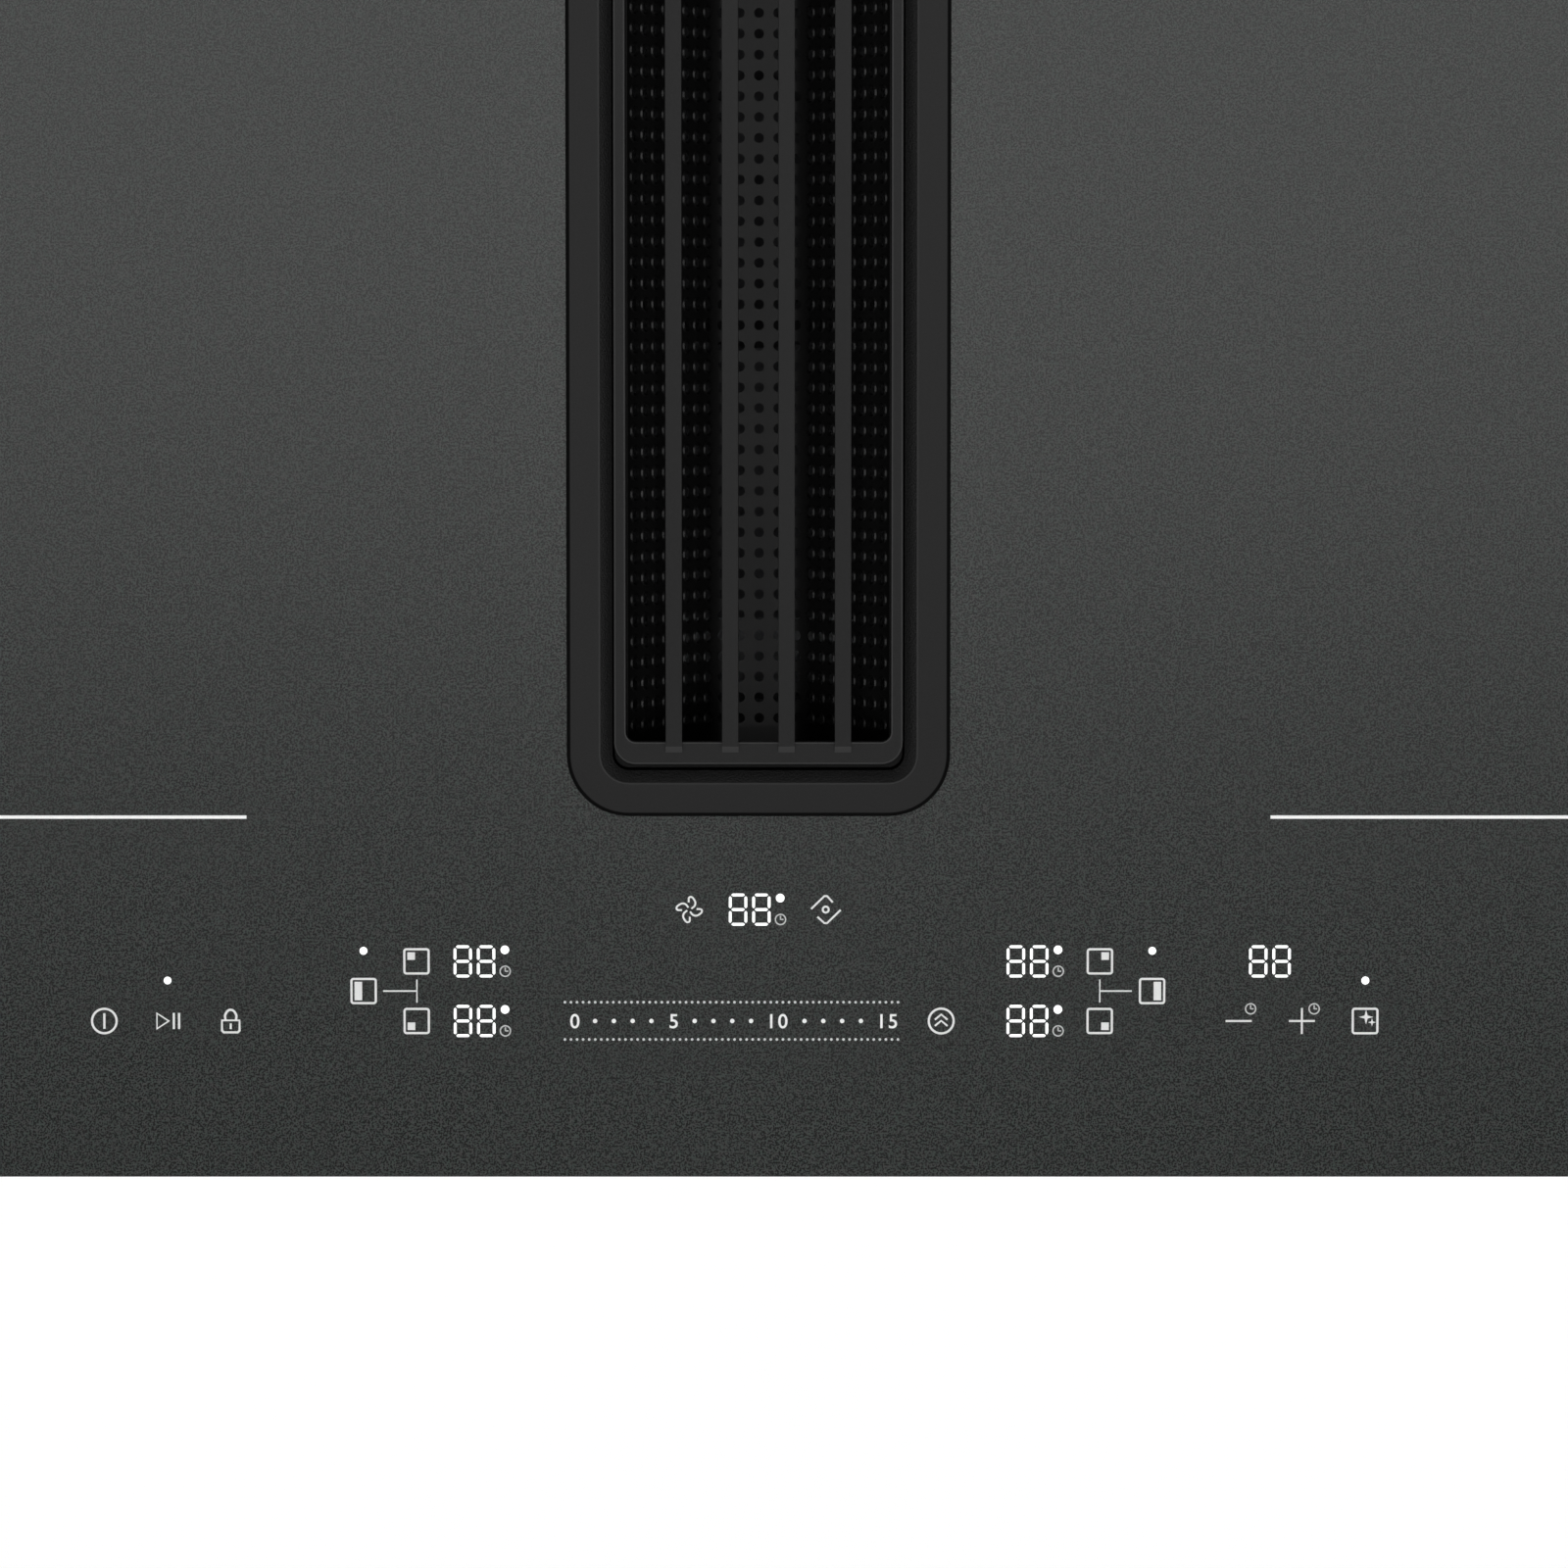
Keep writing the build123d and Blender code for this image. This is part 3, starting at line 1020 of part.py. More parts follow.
def blower_shell(low, high, ear_low, floor_is_low):
    """One half of the blower's case: a spiral wall, a floor or a roof, and ears for its screws."""
    body = Pos(0, 0, low) * extrude(scroll_outline(0), high - low)
    inner_low = low + BLOWER_WALL if floor_is_low else low
    inner_high = high if floor_is_low else high - BLOWER_WALL
    body = body - Pos(0, 0, inner_low) * extrude(scroll_outline(BLOWER_WALL), inner_high - inner_low)
    outlet_width = OUTLET_WIDTH - 2 * BLOWER_WALL
    outlet_y = OUTLET_END_Y - BLOWER_WALL / 2
    outlet = block(outlet_width, BLOWER_WALL, inner_low, inner_high, (OUTLET_CENTRE_X, outlet_y))
    body = body - outlet
    ears = [disc(EAR_RADIUS, ear_low, ear_low + EAR_HEIGHT, place) for place in ear_places()]
    inside = Pos(0, 0, ear_low) * extrude(scroll_outline(BLOWER_WALL), EAR_HEIGHT)
    body = body + [ear - inside for ear in ears]
    return body - [screw_hole(x, y, ear_low, ear_low + EAR_HEIGHT) for x, y in ear_places()]


def blower_upper_shell():
    body = blower_shell(BLOWER_MIDDLE, BLOWER_TOP, BLOWER_MIDDLE, False)
    body = body - disc(INLET_RADIUS, BLOWER_TOP - BLOWER_WALL, BLOWER_TOP, (0, BLOWER_Y))
    roof = BLOWER_TOP - BLOWER_WALL
    return body - [screw_hole(x, y, roof, BLOWER_TOP) for x, y in inlet_screw_places()]


def blower_lower_shell():
    body = blower_shell(BLOWER_BOTTOM, BLOWER_MIDDLE, BLOWER_MIDDLE - EAR_HEIGHT, True)
    return body - [screw_hole(x, y, BLOWER_BOTTOM, MOTOR_BOTTOM) for x, y in motor_screw_places()]


def blower_motor():
    """An external-rotor motor's fixed part, with the bearing bore that its shaft runs in."""
    centre = (0, BLOWER_Y)
    flange_top = MOTOR_BOTTOM + MOTOR_FLANGE_THICKNESS
    body = disc(MOTOR_RADIUS, MOTOR_BOTTOM, MOTOR_TOP, centre)
    flange = disc(MOTOR_RADIUS + MOTOR_FLANGE, MOTOR_BOTTOM, flange_top, centre)
    bore = disc(SHAFT_RADIUS + RUNNING_CLEARANCE, MOTOR_BOTTOM + MOTOR_FLANGE_THICKNESS, MOTOR_TOP, centre)
    holes = [screw_hole(x, y, MOTOR_BOTTOM, flange_top) for x, y in motor_screw_places()]
    return body + flange - bore - holes


def impeller():
    """A backplate with a hub and shaft, backward-set blades, and a shroud ring round the inlet."""
    centre = (0, BLOWER_Y)
    body = disc(IMPELLER_RADIUS, IMPELLER_BOTTOM, IMPELLER_BOTTOM + IMPELLER_SHEET, centre)
    shroud = disc(IMPELLER_RADIUS, IMPELLER_TOP - IMPELLER_SHEET, IMPELLER_TOP, centre)
    shroud = shroud - disc(IMPELLER_INNER_RADIUS, IMPELLER_TOP - IMPELLER_SHEET, IMPELLER_TOP, centre)
    hub = disc(HUB_RADIUS, IMPELLER_BOTTOM, IMPELLER_BOTTOM + IMPELLER_HEIGHT / 2, centre)
    shaft_end = MOTOR_BOTTOM + MOTOR_FLANGE_THICKNESS + MOTOR_GAP
    shaft = disc(SHAFT_RADIUS, shaft_end, IMPELLER_BOTTOM, centre)
    chord = (IMPELLER_RADIUS - IMPELLER_INNER_RADIUS) / cos(radians(IMPELLER_BLADE_TURN)) - IMPELLER_SHEET
    middle_radius = (IMPELLER_RADIUS + IMPELLER_INNER_RADIUS) / 2
    blades = []
    for index in range(IMPELLER_BLADES):
        angle = index * 360 / IMPELLER_BLADES
        x, y = polar(middle_radius, angle, centre)
        blade = extrude(Rectangle(chord, IMPELLER_SHEET), IMPELLER_HEIGHT)
        blades.append(Pos(x, y, IMPELLER_BOTTOM) * Rot(0, 0, angle + IMPELLER_BLADE_TURN) * blade)
    return body + shroud + hub + shaft + blades


# ---------------------------------------------------------------- outlet spigot and flaps
def duct_block(shrink, y_low, y_high):
    """A block with the flat duct's outline, drawn in all round, between two depths."""
    centre_y = (y_low + y_high) / 2
    low = BLOWER_MIDDLE - DUCT_HEIGHT / 2 + shrink
    high = BLOWER_MIDDLE + DUCT_HEIGHT / 2 - shrink
    return block(DUCT_WIDTH - 2 * shrink, y_high - y_low, low, high, (OUTLET_CENTRE_X, centre_y))


def flap_height():
    return (DUCT_HEIGHT - 2 * SPIGOT_WALL - 3 * FLAP_EDGE_CLEARANCE) / 2


def flap_hinges():
    """The Y and Z of the upper and lower flap's hinge axis."""
    y = OUTLET_END_Y + SPIGOT_FLANGE + FLAP_HINGE_FROM_FLANGE
    upper = BLOWER_MIDDLE + DUCT_HEIGHT / 2 - SPIGOT_WALL - FLAP_EDGE_CLEARANCE - FLAP_PIN_RADIUS
    lower = upper - flap_height() - FLAP_EDGE_CLEARANCE
    return {"upper": (y, upper), "lower": (y, lower)}


def outlet_spigot():
    """A sleeve inside the blower's outlet, a flange against its end, and a spigot for the duct."""
    flange_end = OUTLET_END_Y + SPIGOT_FLANGE
    end = flange_end + SPIGOT_LENGTH
    sleeve_shrink = BLOWER_WALL + SPIGOT_FIT - OUTLET_LIP
    sleeve = duct_block(sleeve_shrink, OUTLET_END_Y - SPIGOT_SLEEVE, OUTLET_END_Y)
    flange_centre = (OUTLET_CENTRE_X, OUTLET_END_Y + SPIGOT_FLANGE / 2)
    flange = block(OUTLET_WIDTH, SPIGOT_FLANGE, BLOWER_BOTTOM, BLOWER_TOP, flange_centre)
    tube = duct_block(0, flange_end, end)
    body = sleeve + flange + tube - duct_block(SPIGOT_WALL, OUTLET_END_Y - SPIGOT_SLEEVE, end)
    sockets = []
    for y, z in flap_hinges().values():
        socket = Pos(OUTLET_CENTRE_X, y, z) * Rot(0, 90, 0)
        sockets.append(socket * Cylinder(FLAP_PIN_RADIUS + RUNNING_CLEARANCE, DUCT_WIDTH))
    return body - sockets


def back_draught_flap(name):
    """A flap hung from the pins at its upper edge."""
    y, z = flap_hinges()[name]
    inner_width = DUCT_WIDTH - 2 * SPIGOT_WALL
    low = z + FLAP_PIN_RADIUS - flap_height()
    width = inner_width - 2 * FLAP_SIDE_CLEARANCE
    leaf = block(width, FLAP_SHEET, low, z, (OUTLET_CENTRE_X, y))
    pin_length = DUCT_WIDTH - SPIGOT_WALL
    return leaf + Pos(OUTLET_CENTRE_X, y, z) * Rot(0, 90, 0) * Cylinder(FLAP_PIN_RADIUS, pin_length)


# ---------------------------------------------------------------- screws
def case_screws():
    """Every M4 screw of the case: well to pan, blower to well, shell to shell, motor and hatch."""
    screws = []
    flange_grip = WELL_WALL + PAN_SHEET + SCREW_REACH
    for x, y in well_screw_places():
        screws.append(screw(x, y, WELL_FLANGE_BOTTOM, flange_grip, True))
    inlet_grip = WELL_WALL + BLOWER_WALL + SCREW_REACH
    for x, y in inlet_screw_places():
        screws.append(screw(x, y, WELL_BOTTOM + WELL_WALL, inlet_grip, False))
    for x, y in ear_places():
        screws.append(screw(x, y, BLOWER_MIDDLE - EAR_HEIGHT, 2 * EAR_HEIGHT + SCREW_REACH, True))
    for x, y in motor_screw_places():
        seat = MOTOR_BOTTOM + MOTOR_FLANGE_THICKNESS
        screws.append(screw(x, y, seat, MOTOR_FLANGE_THICKNESS + BLOWER_WALL, False))
    cover_seat = PAN_BOTTOM - HATCH_COVER_SHEET
    for x, y in cover_screw_places():
        screws.append(screw(x, y, cover_seat, HATCH_COVER_SHEET + PAN_SHEET + SCREW_REACH, True))
    return screws


# ---------------------------------------------------------------- write every node
save("glass_top", glass_top())
save("rim_gasket", rim_gasket())
save("slot_frame", slot_frame())
save("slot_frame_seal", slot_frame_seal())
save("well_housing", well_housing())
save("well_seal", well_seal())
save("base_pan", base_pan())
save("terminal_block", terminal_block())
save("terminal_cover", terminal_cover())
save("cable_gland", cable_gland())
save("fixing_brackets", *fixing_brackets())
save("plate_posts", *plate_posts())
save("plate_springs", *plate_springs())
save("board_standoffs", *board_standoffs())
save("capacitors", *capacitors())
save("chokes", *chokes())
save("control_board", control_board())
save("control_carrier", control_carrier())
save("touch_springs", *touch_springs())
save("digit_displays", *digit_displays())
save("blower_upper_shell", blower_upper_shell())
save("blower_lower_shell", blower_lower_shell())
save("blower_motor", blower_motor())
save("impeller", impeller())
save("outlet_spigot", outlet_spigot())
save("upper_flap", back_draught_flap("upper"))
save("lower_flap", back_draught_flap("lower"))
save("case_screws", *case_screws())
save("drip_cup", drip_cup())
save("filter_frame", filter_frame())
save("filter_trough", filter_trough())
save("grille_ring", grille_ring())
save("grille_bars", *grille_bars())
save("grille_pads", *grille_pads())

zones = [(side, row) for side in SIDES for row in ROWS]
for side, row in zones:
    place = zone_centre(side, row)
    save(f"coil_{row}_{side}", coil(place))
    save(f"coil_former_{row}_{side}", coil_former(place))
save("ferrite_bars", *[bar for zone in zones for bar in ferrite_bars(zone_centre(*zone), 0)])
save("temperature_sensors", *[temperature_sensor(zone_centre(*zone)) for zone in zones])

for side in SIDES:
    save(f"insulation_sheet_{side}", side_plate(side, INSULATION_BOTTOM, GLASS_BOTTOM))
    save(f"coil_plate_{side}", side_plate(side, PLATE_BOTTOM, FORMER_BOTTOM))
    save(f"power_board_{side}", power_board(side))
    save(f"heatsink_{side}", heatsink(side))
    save(f"cooling_fan_housing_{side}", cooling_fan_housing(side))
    save(f"cooling_fan_rotor_{side}", cooling_fan_rotor(side))
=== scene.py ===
# %% [markdown]
# # A downdraft induction cooktop
# One sheet of black glass-ceramic carries four cooking zones and a long slot in the middle. Air is
# drawn down through a grille and a perforated filter into a well, and a blower below sends it away.
# The CAD model is the frame of this scene: it fixes every size, and Blender adds what the eye
# wants, such as broken edges, punched holes, printed marks and surface finishes.

import json
from math import atan2, cos, hypot, pi, radians, sin, tan

import bmesh
import bpy
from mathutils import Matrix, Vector


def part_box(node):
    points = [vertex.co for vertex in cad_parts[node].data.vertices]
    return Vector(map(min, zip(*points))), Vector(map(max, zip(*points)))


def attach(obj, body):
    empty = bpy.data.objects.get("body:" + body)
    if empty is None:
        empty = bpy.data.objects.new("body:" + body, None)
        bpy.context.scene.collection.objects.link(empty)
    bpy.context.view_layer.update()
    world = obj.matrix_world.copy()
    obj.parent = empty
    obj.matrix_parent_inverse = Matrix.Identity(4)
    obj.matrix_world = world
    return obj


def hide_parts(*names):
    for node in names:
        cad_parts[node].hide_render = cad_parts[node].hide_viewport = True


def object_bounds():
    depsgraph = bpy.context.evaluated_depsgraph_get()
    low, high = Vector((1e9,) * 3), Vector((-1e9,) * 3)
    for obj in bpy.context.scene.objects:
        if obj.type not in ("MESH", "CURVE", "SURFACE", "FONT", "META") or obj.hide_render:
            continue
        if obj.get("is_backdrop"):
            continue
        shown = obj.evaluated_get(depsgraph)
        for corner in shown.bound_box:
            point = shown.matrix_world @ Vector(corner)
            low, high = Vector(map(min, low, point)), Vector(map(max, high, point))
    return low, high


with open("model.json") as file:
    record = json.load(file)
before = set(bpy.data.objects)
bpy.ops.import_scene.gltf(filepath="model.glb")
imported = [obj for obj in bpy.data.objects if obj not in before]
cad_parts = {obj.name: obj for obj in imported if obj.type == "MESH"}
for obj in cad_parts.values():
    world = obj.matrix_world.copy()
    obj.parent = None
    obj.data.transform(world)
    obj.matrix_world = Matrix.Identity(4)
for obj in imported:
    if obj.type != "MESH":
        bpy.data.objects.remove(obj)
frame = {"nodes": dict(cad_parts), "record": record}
nodes = frame["nodes"]
cad_low, cad_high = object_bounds()
bpy.ops.object.select_all(action="DESELECT")
print("nodes", len(nodes), "box", [round(v, 4) for v in (*cad_low, *cad_high)])

# %% [markdown]
# ## Levels and places
# The scene is in metres and the notes are in millimetres, so MM turns one into the other. The
# glass, the slot frame and the trough are measured from the CAD nodes that they stand for.

# %% Measure the frame
MM = 0.001
glass_low, glass_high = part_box("glass_top")
rim_low, rim_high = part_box("slot_frame")
GLASS_TOP = glass_high.z
RIM_TOP = rim_high.z
SLOT_WIDTH = rim_high.x - rim_low.x
SLOT_LENGTH = rim_high.y - rim_low.y
SLOT_Y = (rim_low.y + rim_high.y) / 2
print("glass top", GLASS_TOP, "slot", SLOT_WIDTH, SLOT_LENGTH, "middle", SLOT_Y)

# %% [markdown]
# ## The camera
# The cooktop is seen from straight above its slot, two metres up, and the lens looks a little
# towards the cook. That tilt keeps the near walls of the slot in view and hides the far ones.

# %% Set the camera
CAMERA_X = 7.7 * MM
CAMERA_HEIGHT = 2000 * MM
AIM_Y = -140.7 * MM
FILM_WIDTH = 36
LENS = 152.7
bpy.ops.object.camera_add(location=(CAMERA_X, 0, GLASS_TOP + CAMERA_HEIGHT))
camera = bpy.context.object
camera.rotation_euler.x = atan2(AIM_Y, CAMERA_HEIGHT)
camera.data.sensor_width = FILM_WIDTH
camera.data.lens = LENS
bpy.context.scene.camera = camera
bpy.context.scene.view_settings.view_transform = "Standard"
print("camera", tuple(camera.location), "lens", camera.data.lens)

# %% [markdown]
# ## The room
# A photographer lights black glass with what it reflects. The world is dim where it lights matt
# surfaces and white where the camera looks past the object. What glossy surfaces see is a bright
# wall behind the cook, which darkens towards the back of the room, and a dimmer ceiling.

# %% Build the world
FILL_LEVEL = 0.105
CEILING_LEVEL = 0.12
WALL_LEVELS = ((0.0, 0.65), (0.5, 0.6), (1.0, 0.14))
CEILING_FROM, CEILING_FULL = 0.55, 0.93
WHITE = (1, 1, 1, 1)


def add_node(owner, kind, **values):
    """Add a node to a material or the world and set its sockets by name."""
    made = owner.node_tree.nodes.new(kind)
    for socket, value in values.items():
        made.inputs[socket.replace("_", " ")].default_value = value
    return made


def link(owner, source, socket):
    """Join an output to an input."""
    owner.node_tree.links.new(source, socket)


world = bpy.data.worlds.new("studio")
bpy.context.scene.world = world
world.use_nodes = True
world.node_tree.nodes.clear()
path = add_node(world, "ShaderNodeLightPath")
place = add_node(world, "ShaderNodeTexCoord")
split = add_node(world, "ShaderNodeSeparateXYZ")
link(world, place.outputs["Generated"], split.inputs["Vector"])
wall = add_node(world, "ShaderNodeMapRange", From_Min=-1.0, From_Max=1.0)
link(world, split.outputs["Y"], wall.inputs["Value"])
walls = add_node(world, "ShaderNodeValToRGB")
walls.color_ramp.elements.new(WALL_LEVELS[1][0])
for stop, (position, level) in zip(walls.color_ramp.elements, WALL_LEVELS):
    stop.position = position
    stop.color = (level, level, level, 1)
link(world, wall.outputs["Result"], walls.inputs["Fac"])
rise = add_node(world, "ShaderNodeMapRange", From_Min=CEILING_FROM, From_Max=CEILING_FULL)
link(world, split.outputs["Z"], rise.inputs["Value"])
ceiling = add_node(world, "ShaderNodeMix", B=CEILING_LEVEL)
link(world, rise.outputs["Result"], ceiling.inputs["Factor"])
link(world, walls.outputs["Color"], ceiling.inputs["A"])
fill, mirrored, open_view = (add_node(world, "ShaderNodeBackground", Color=WHITE) for _ in range(3))
fill.inputs["Strength"].default_value = FILL_LEVEL
link(world, ceiling.outputs[0], mirrored.inputs["Strength"])
shiny, seen, clear = (add_node(world, "ShaderNodeMixShader") for _ in range(3))
for mix, ray, before, after in (
    (shiny, "Is Glossy Ray", fill, mirrored),
    (seen, "Is Transmission Ray", shiny, open_view),
    (clear, "Is Camera Ray", seen, open_view),
):
    link(world, path.outputs[ray], mix.inputs[0])
    link(world, before.outputs[0], mix.inputs[1])
    link(world, after.outputs[0], mix.inputs[2])
room = add_node(world, "ShaderNodeOutputWorld")
link(world, clear.outputs[0], room.inputs["Surface"])
print("world nodes", len(world.node_tree.nodes))

# %% [markdown]
# ## The lamps
# One broad lamp overhead does most of the work, at a strength where a level surface renders
# about as its colour is written, and it leans a little to the front. Weak low lamps reach the
# four sides. Reflections show none of these, or they would burn white lines into every rounded
# edge. A faint lamp lights the underside, and a soft box that only reflections see puts the slow
# fade across the glass.

# %% Hang the lamps
KEY_TILT = 12
KEY_LEVEL = (1 - FILL_LEVEL) / cos(radians(KEY_TILT))
LOW_TILT = 80
LOW_LAMPS = {
    "low_front": (0, 0.55),
    "low_rear": (180, 0.55),
    "low_left": (-90, 0.35),
    "low_right": (90, 0.35),
}
UNDER_LEVEL = 0.3


def hang_sun(name, tilt, turn, strength, softness):
    """A distant lamp, tilted from straight down and then turned about the upright axis."""
    bpy.ops.object.light_add(type="SUN", rotation=(radians(tilt), 0, radians(turn)))
    sun = bpy.context.object
    sun.name = name
    sun.data.energy = strength
    sun.data.angle = radians(softness)
    return sun


hang_sun("key", KEY_TILT, 0, KEY_LEVEL * pi, 24).visible_glossy = False
for name, (turn, strength) in LOW_LAMPS.items():
    hang_sun(name, LOW_TILT, turn, strength, 30).visible_glossy = False
hang_sun("low_under", 180, 0, UNDER_LEVEL, 60)

PANEL_SIZE = (4.2, 1.5)
PANEL_LEVEL = 1.36
PANEL_X = 0.4
PANEL_NEAR_EDGE = -0.22
PANEL_HEIGHT = 2.8
panel_y = PANEL_NEAR_EDGE + PANEL_SIZE[1] / 2
bpy.ops.object.light_add(type="AREA", location=(PANEL_X, panel_y, PANEL_HEIGHT))
panel = bpy.context.object
panel.name = "overhead_soft_box"
panel.data.shape = "RECTANGLE"
panel.data.size, panel.data.size_y = PANEL_SIZE
panel.data.energy = PANEL_LEVEL * pi * PANEL_SIZE[0] * PANEL_SIZE[1]
panel.visible_diffuse = False
panel.visible_camera = False
panel.visible_transmission = False

# %% [markdown]
# ## Small tools for finishes
# Every finish starts from one shader and one pattern in the object's own coordinates. The pattern
# mixes two close tones and lifts the surface a little, which is what keeps a plain part from
# looking like a toy.

# %% A finish from one pattern
finishes = {}


def new_finish(name, roughness, metallic=0.0, specular=0.5):
    """A named material with its even values set on the shader."""
    material = bpy.data.materials.new(name)
    material.use_nodes = True
    shader = material.node_tree.nodes["Principled BSDF"]
    shader.inputs["Roughness"].default_value = roughness
    shader.inputs["Metallic"].default_value = metallic
    shader.inputs["Specular IOR Level"].default_value = specular
    finishes[name] = material
    return material, shader


def place_pattern(material, stretch=(1, 1, 1), centre=(0, 0, 0)):
    """Object coordinates in millimetres, moved to a centre and stretched."""
    place = add_node(material, "ShaderNodeTexCoord")
    mapping = add_node(material, "ShaderNodeMapping")
    mapping.inputs["Scale"].default_value = [1 / MM / s for s in stretch]
    mapping.inputs["Location"].default_value = [-c / MM / s for c, s in zip(centre, stretch)]
    link(material, place.outputs["Object"], mapping.inputs["Vector"])
    return mapping


def grain(material, kind, stretch, **values):
    """A noise or cell pattern of its own size in millimetres."""
    mapping = place_pattern(material, stretch)
    pattern = add_node(material, kind, Scale=1.0, **values)
    link(material, mapping.outputs["Vector"], pattern.inputs["Vector"])
    return pattern


def tone_ramp(material, value, dark, light, low=0.35, high=0.65):
    """A ramp from one tone to another, driven by a pattern's value."""
    ramp = add_node(material, "ShaderNodeValToRGB")
    for stop, position, tone in zip(ramp.color_ramp.elements, (low, high), (dark, light)):
        stop.position = position
        stop.color = (*tone, 1)
    link(material, value, ramp.inputs["Fac"])
    return ramp


def two_tones(material, shader, *pattern_and_tones):
    """Colour the shader by a ramp between two tones."""
    ramp = tone_ramp(material, *pattern_and_tones)
    link(material, ramp.outputs["Color"], shader.inputs["Base Color"])
    return ramp


def lift(material, shader, value, height):
    """Raise the surface by a pattern's value; height is in millimetres."""
    bump = add_node(material, "ShaderNodeBump", Strength=1.0, Distance=height * MM)
    link(material, value, bump.inputs["Height"])
    link(material, bump.outputs["Normal"], shader.inputs["Normal"])
    return bump


print("tools ready")

# %% [markdown]
# ## Plain finishes
# Moulded plastics are clouded and faintly dimpled, sheet metals are brushed or crystalline, foam
# has pores, and wire windings lie side by side. One table holds the grain size in millimetres, the
# two tones, the roughness and the height of the relief.

# %% Finishes of the parts below the glass
NOISE = "ShaderNodeTexNoise"
CELLS = "ShaderNodeTexVoronoi"


def patterned_finish(
    name, kind, size, dark, light, roughness, metallic, height, stretch=(1, 1, 1), tone_of=0
):
    """A finish whose tone and relief come from one noise or cell pattern."""
    material, shader = new_finish(name, roughness, metallic)
    pattern = grain(material, kind, [size * s for s in stretch])
    two_tones(material, shader, pattern.outputs[tone_of], dark, light)
    lift(material, shader, pattern.outputs[0], height)


patterned_finish("foam", CELLS, 0.9, (0.018,) * 3, (0.04,) * 3, 0.95, 0, 0.25)
patterned_finish("silicone", NOISE, 2.5, (0.016,) * 3, (0.024,) * 3, 0.5, 0, 0.02)
patterned_finish("black_plastic", NOISE, 0.5, (0.022, 0.022, 0.024), (0.036, 0.036, 0.038), 0.5, 0, 0.02)
patterned_finish("grey_plastic", NOISE, 0.6, (0.22, 0.23, 0.24), (0.28, 0.29, 0.3), 0.48, 0, 0.02)
patterned_finish("white_plastic", NOISE, 0.8, (0.72, 0.72, 0.68), (0.79, 0.79, 0.76), 0.42, 0, 0.02)
patterned_finish(
    "galvanised_steel", CELLS, 4, (0.36, 0.375, 0.385), (0.46, 0.475, 0.485), 0.45, 0.4, 0.01, tone_of=1
)
patterned_finish(
    "spring_steel", NOISE, 0.4, (0.5, 0.5, 0.5), (0.66, 0.66, 0.66), 0.3, 1, 0.01, (12, 1, 1)
)
patterned_finish("zinc", NOISE, 0.7, (0.52, 0.53, 0.52), (0.7, 0.71, 0.7), 0.35, 0.9, 0.01)
patterned_finish("motor_metal", NOISE, 0.5, (0.42, 0.42, 0.42), (0.56, 0.56, 0.56), 0.42, 0.9, 0.01)
patterned_finish(
    "aluminium_sheet", NOISE, 0.3, (0.62, 0.63, 0.64), (0.78, 0.79, 0.8), 0.36, 1, 0.01, (1, 40, 1)
)
patterned_finish("insulation", NOISE, 0.6, (0.6, 0.56, 0.48), (0.84, 0.79, 0.68), 0.9, 0, 0.12, (6, 1, 1))
patterned_finish("ferrite", NOISE, 0.4, (0.045,) * 3, (0.075,) * 3, 0.55, 0, 0.03)
patterned_finish(
    "circuit_board", CELLS, 5, (0.015, 0.12, 0.05), (0.035, 0.24, 0.1), 0.35, 0, 0.04, tone_of=1
)
print("plain finishes", len(finishes))

# %% [markdown]
# ## Copper windings
# Each coil is one long wire wound in a flat spiral, so its turns show as fine rings. Wave rings
# would all need the middle of their own coil, so the same finish is made once for each coil.

# %% Winding finish round a centre
WIRE_PITCH = 2.2


def winding_finish(name, centre):
    """Rings of wire round an upright axis."""
    material, shader = new_finish(name, 0.35, 0.8)
    mapping = place_pattern(material, (1, 1, 1), centre)
    rings = add_node(material, "ShaderNodeTexWave", Scale=pi / 10 / WIRE_PITCH)
    rings.wave_type = "RINGS"
    rings.rings_direction = "Z"
    link(material, mapping.outputs["Vector"], rings.inputs["Vector"])
    two_tones(material, shader, rings.outputs["Fac"], (0.3, 0.12, 0.05), (0.8, 0.42, 0.22), 0.1, 0.8)
    lift(material, shader, rings.outputs["Fac"], 0.5)


winding_finish("copper_winding", (0, 0, 0))
for name in nodes:
    if name.startswith("coil_") and "former" not in name and "plate" not in name:
        low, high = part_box(name)
        winding_finish(name + "_winding", (low + high) / 2)
print("winding finishes", [name for name in finishes if "winding" in name])

# %% [markdown]
# ## Black glass-ceramic
# The sheet is nearly black, yet the light picks out fine crystals in it, about half a millimetre
# across, some greenish and some warm. The speckle lives in the colour only: the surface itself is
# smooth enough to mirror a soft box as a slow fade.

# %% Glass finish
SPECKLE = 0.56
GLASS_TONES = (0.0065,) * 3, (0.0285,) * 3
GREENISH, WARM = (0.84, 1.09, 0.97), (1.0, 1.0, 0.97)
material, shader = new_finish("glass_ceramic", 0.25)
mapping = place_pattern(material, (SPECKLE,) * 3)
speckle = add_node(material, NOISE, Scale=1.0, Detail=1.0)
hue = add_node(material, NOISE, Scale=0.3, Detail=1.0)
ramp = two_tones(material, shader, speckle.outputs[0], *GLASS_TONES, 0.4, 0.6)
tint = tone_ramp(material, hue.outputs[0], GREENISH, WARM)
blend = add_node(material, "ShaderNodeMix", Factor=1.0)
blend.data_type = "RGBA"
blend.blend_type = "MULTIPLY"
links = material.node_tree.links
links.new(mapping.outputs["Vector"], speckle.inputs["Vector"])
links.new(mapping.outputs["Vector"], hue.inputs["Vector"])
links.new(ramp.outputs["Color"], blend.inputs[6])
links.new(tint.outputs["Color"], blend.inputs[7])
links.new(blend.outputs[2], shader.inputs["Base Color"])
print("glass finish", material.name)

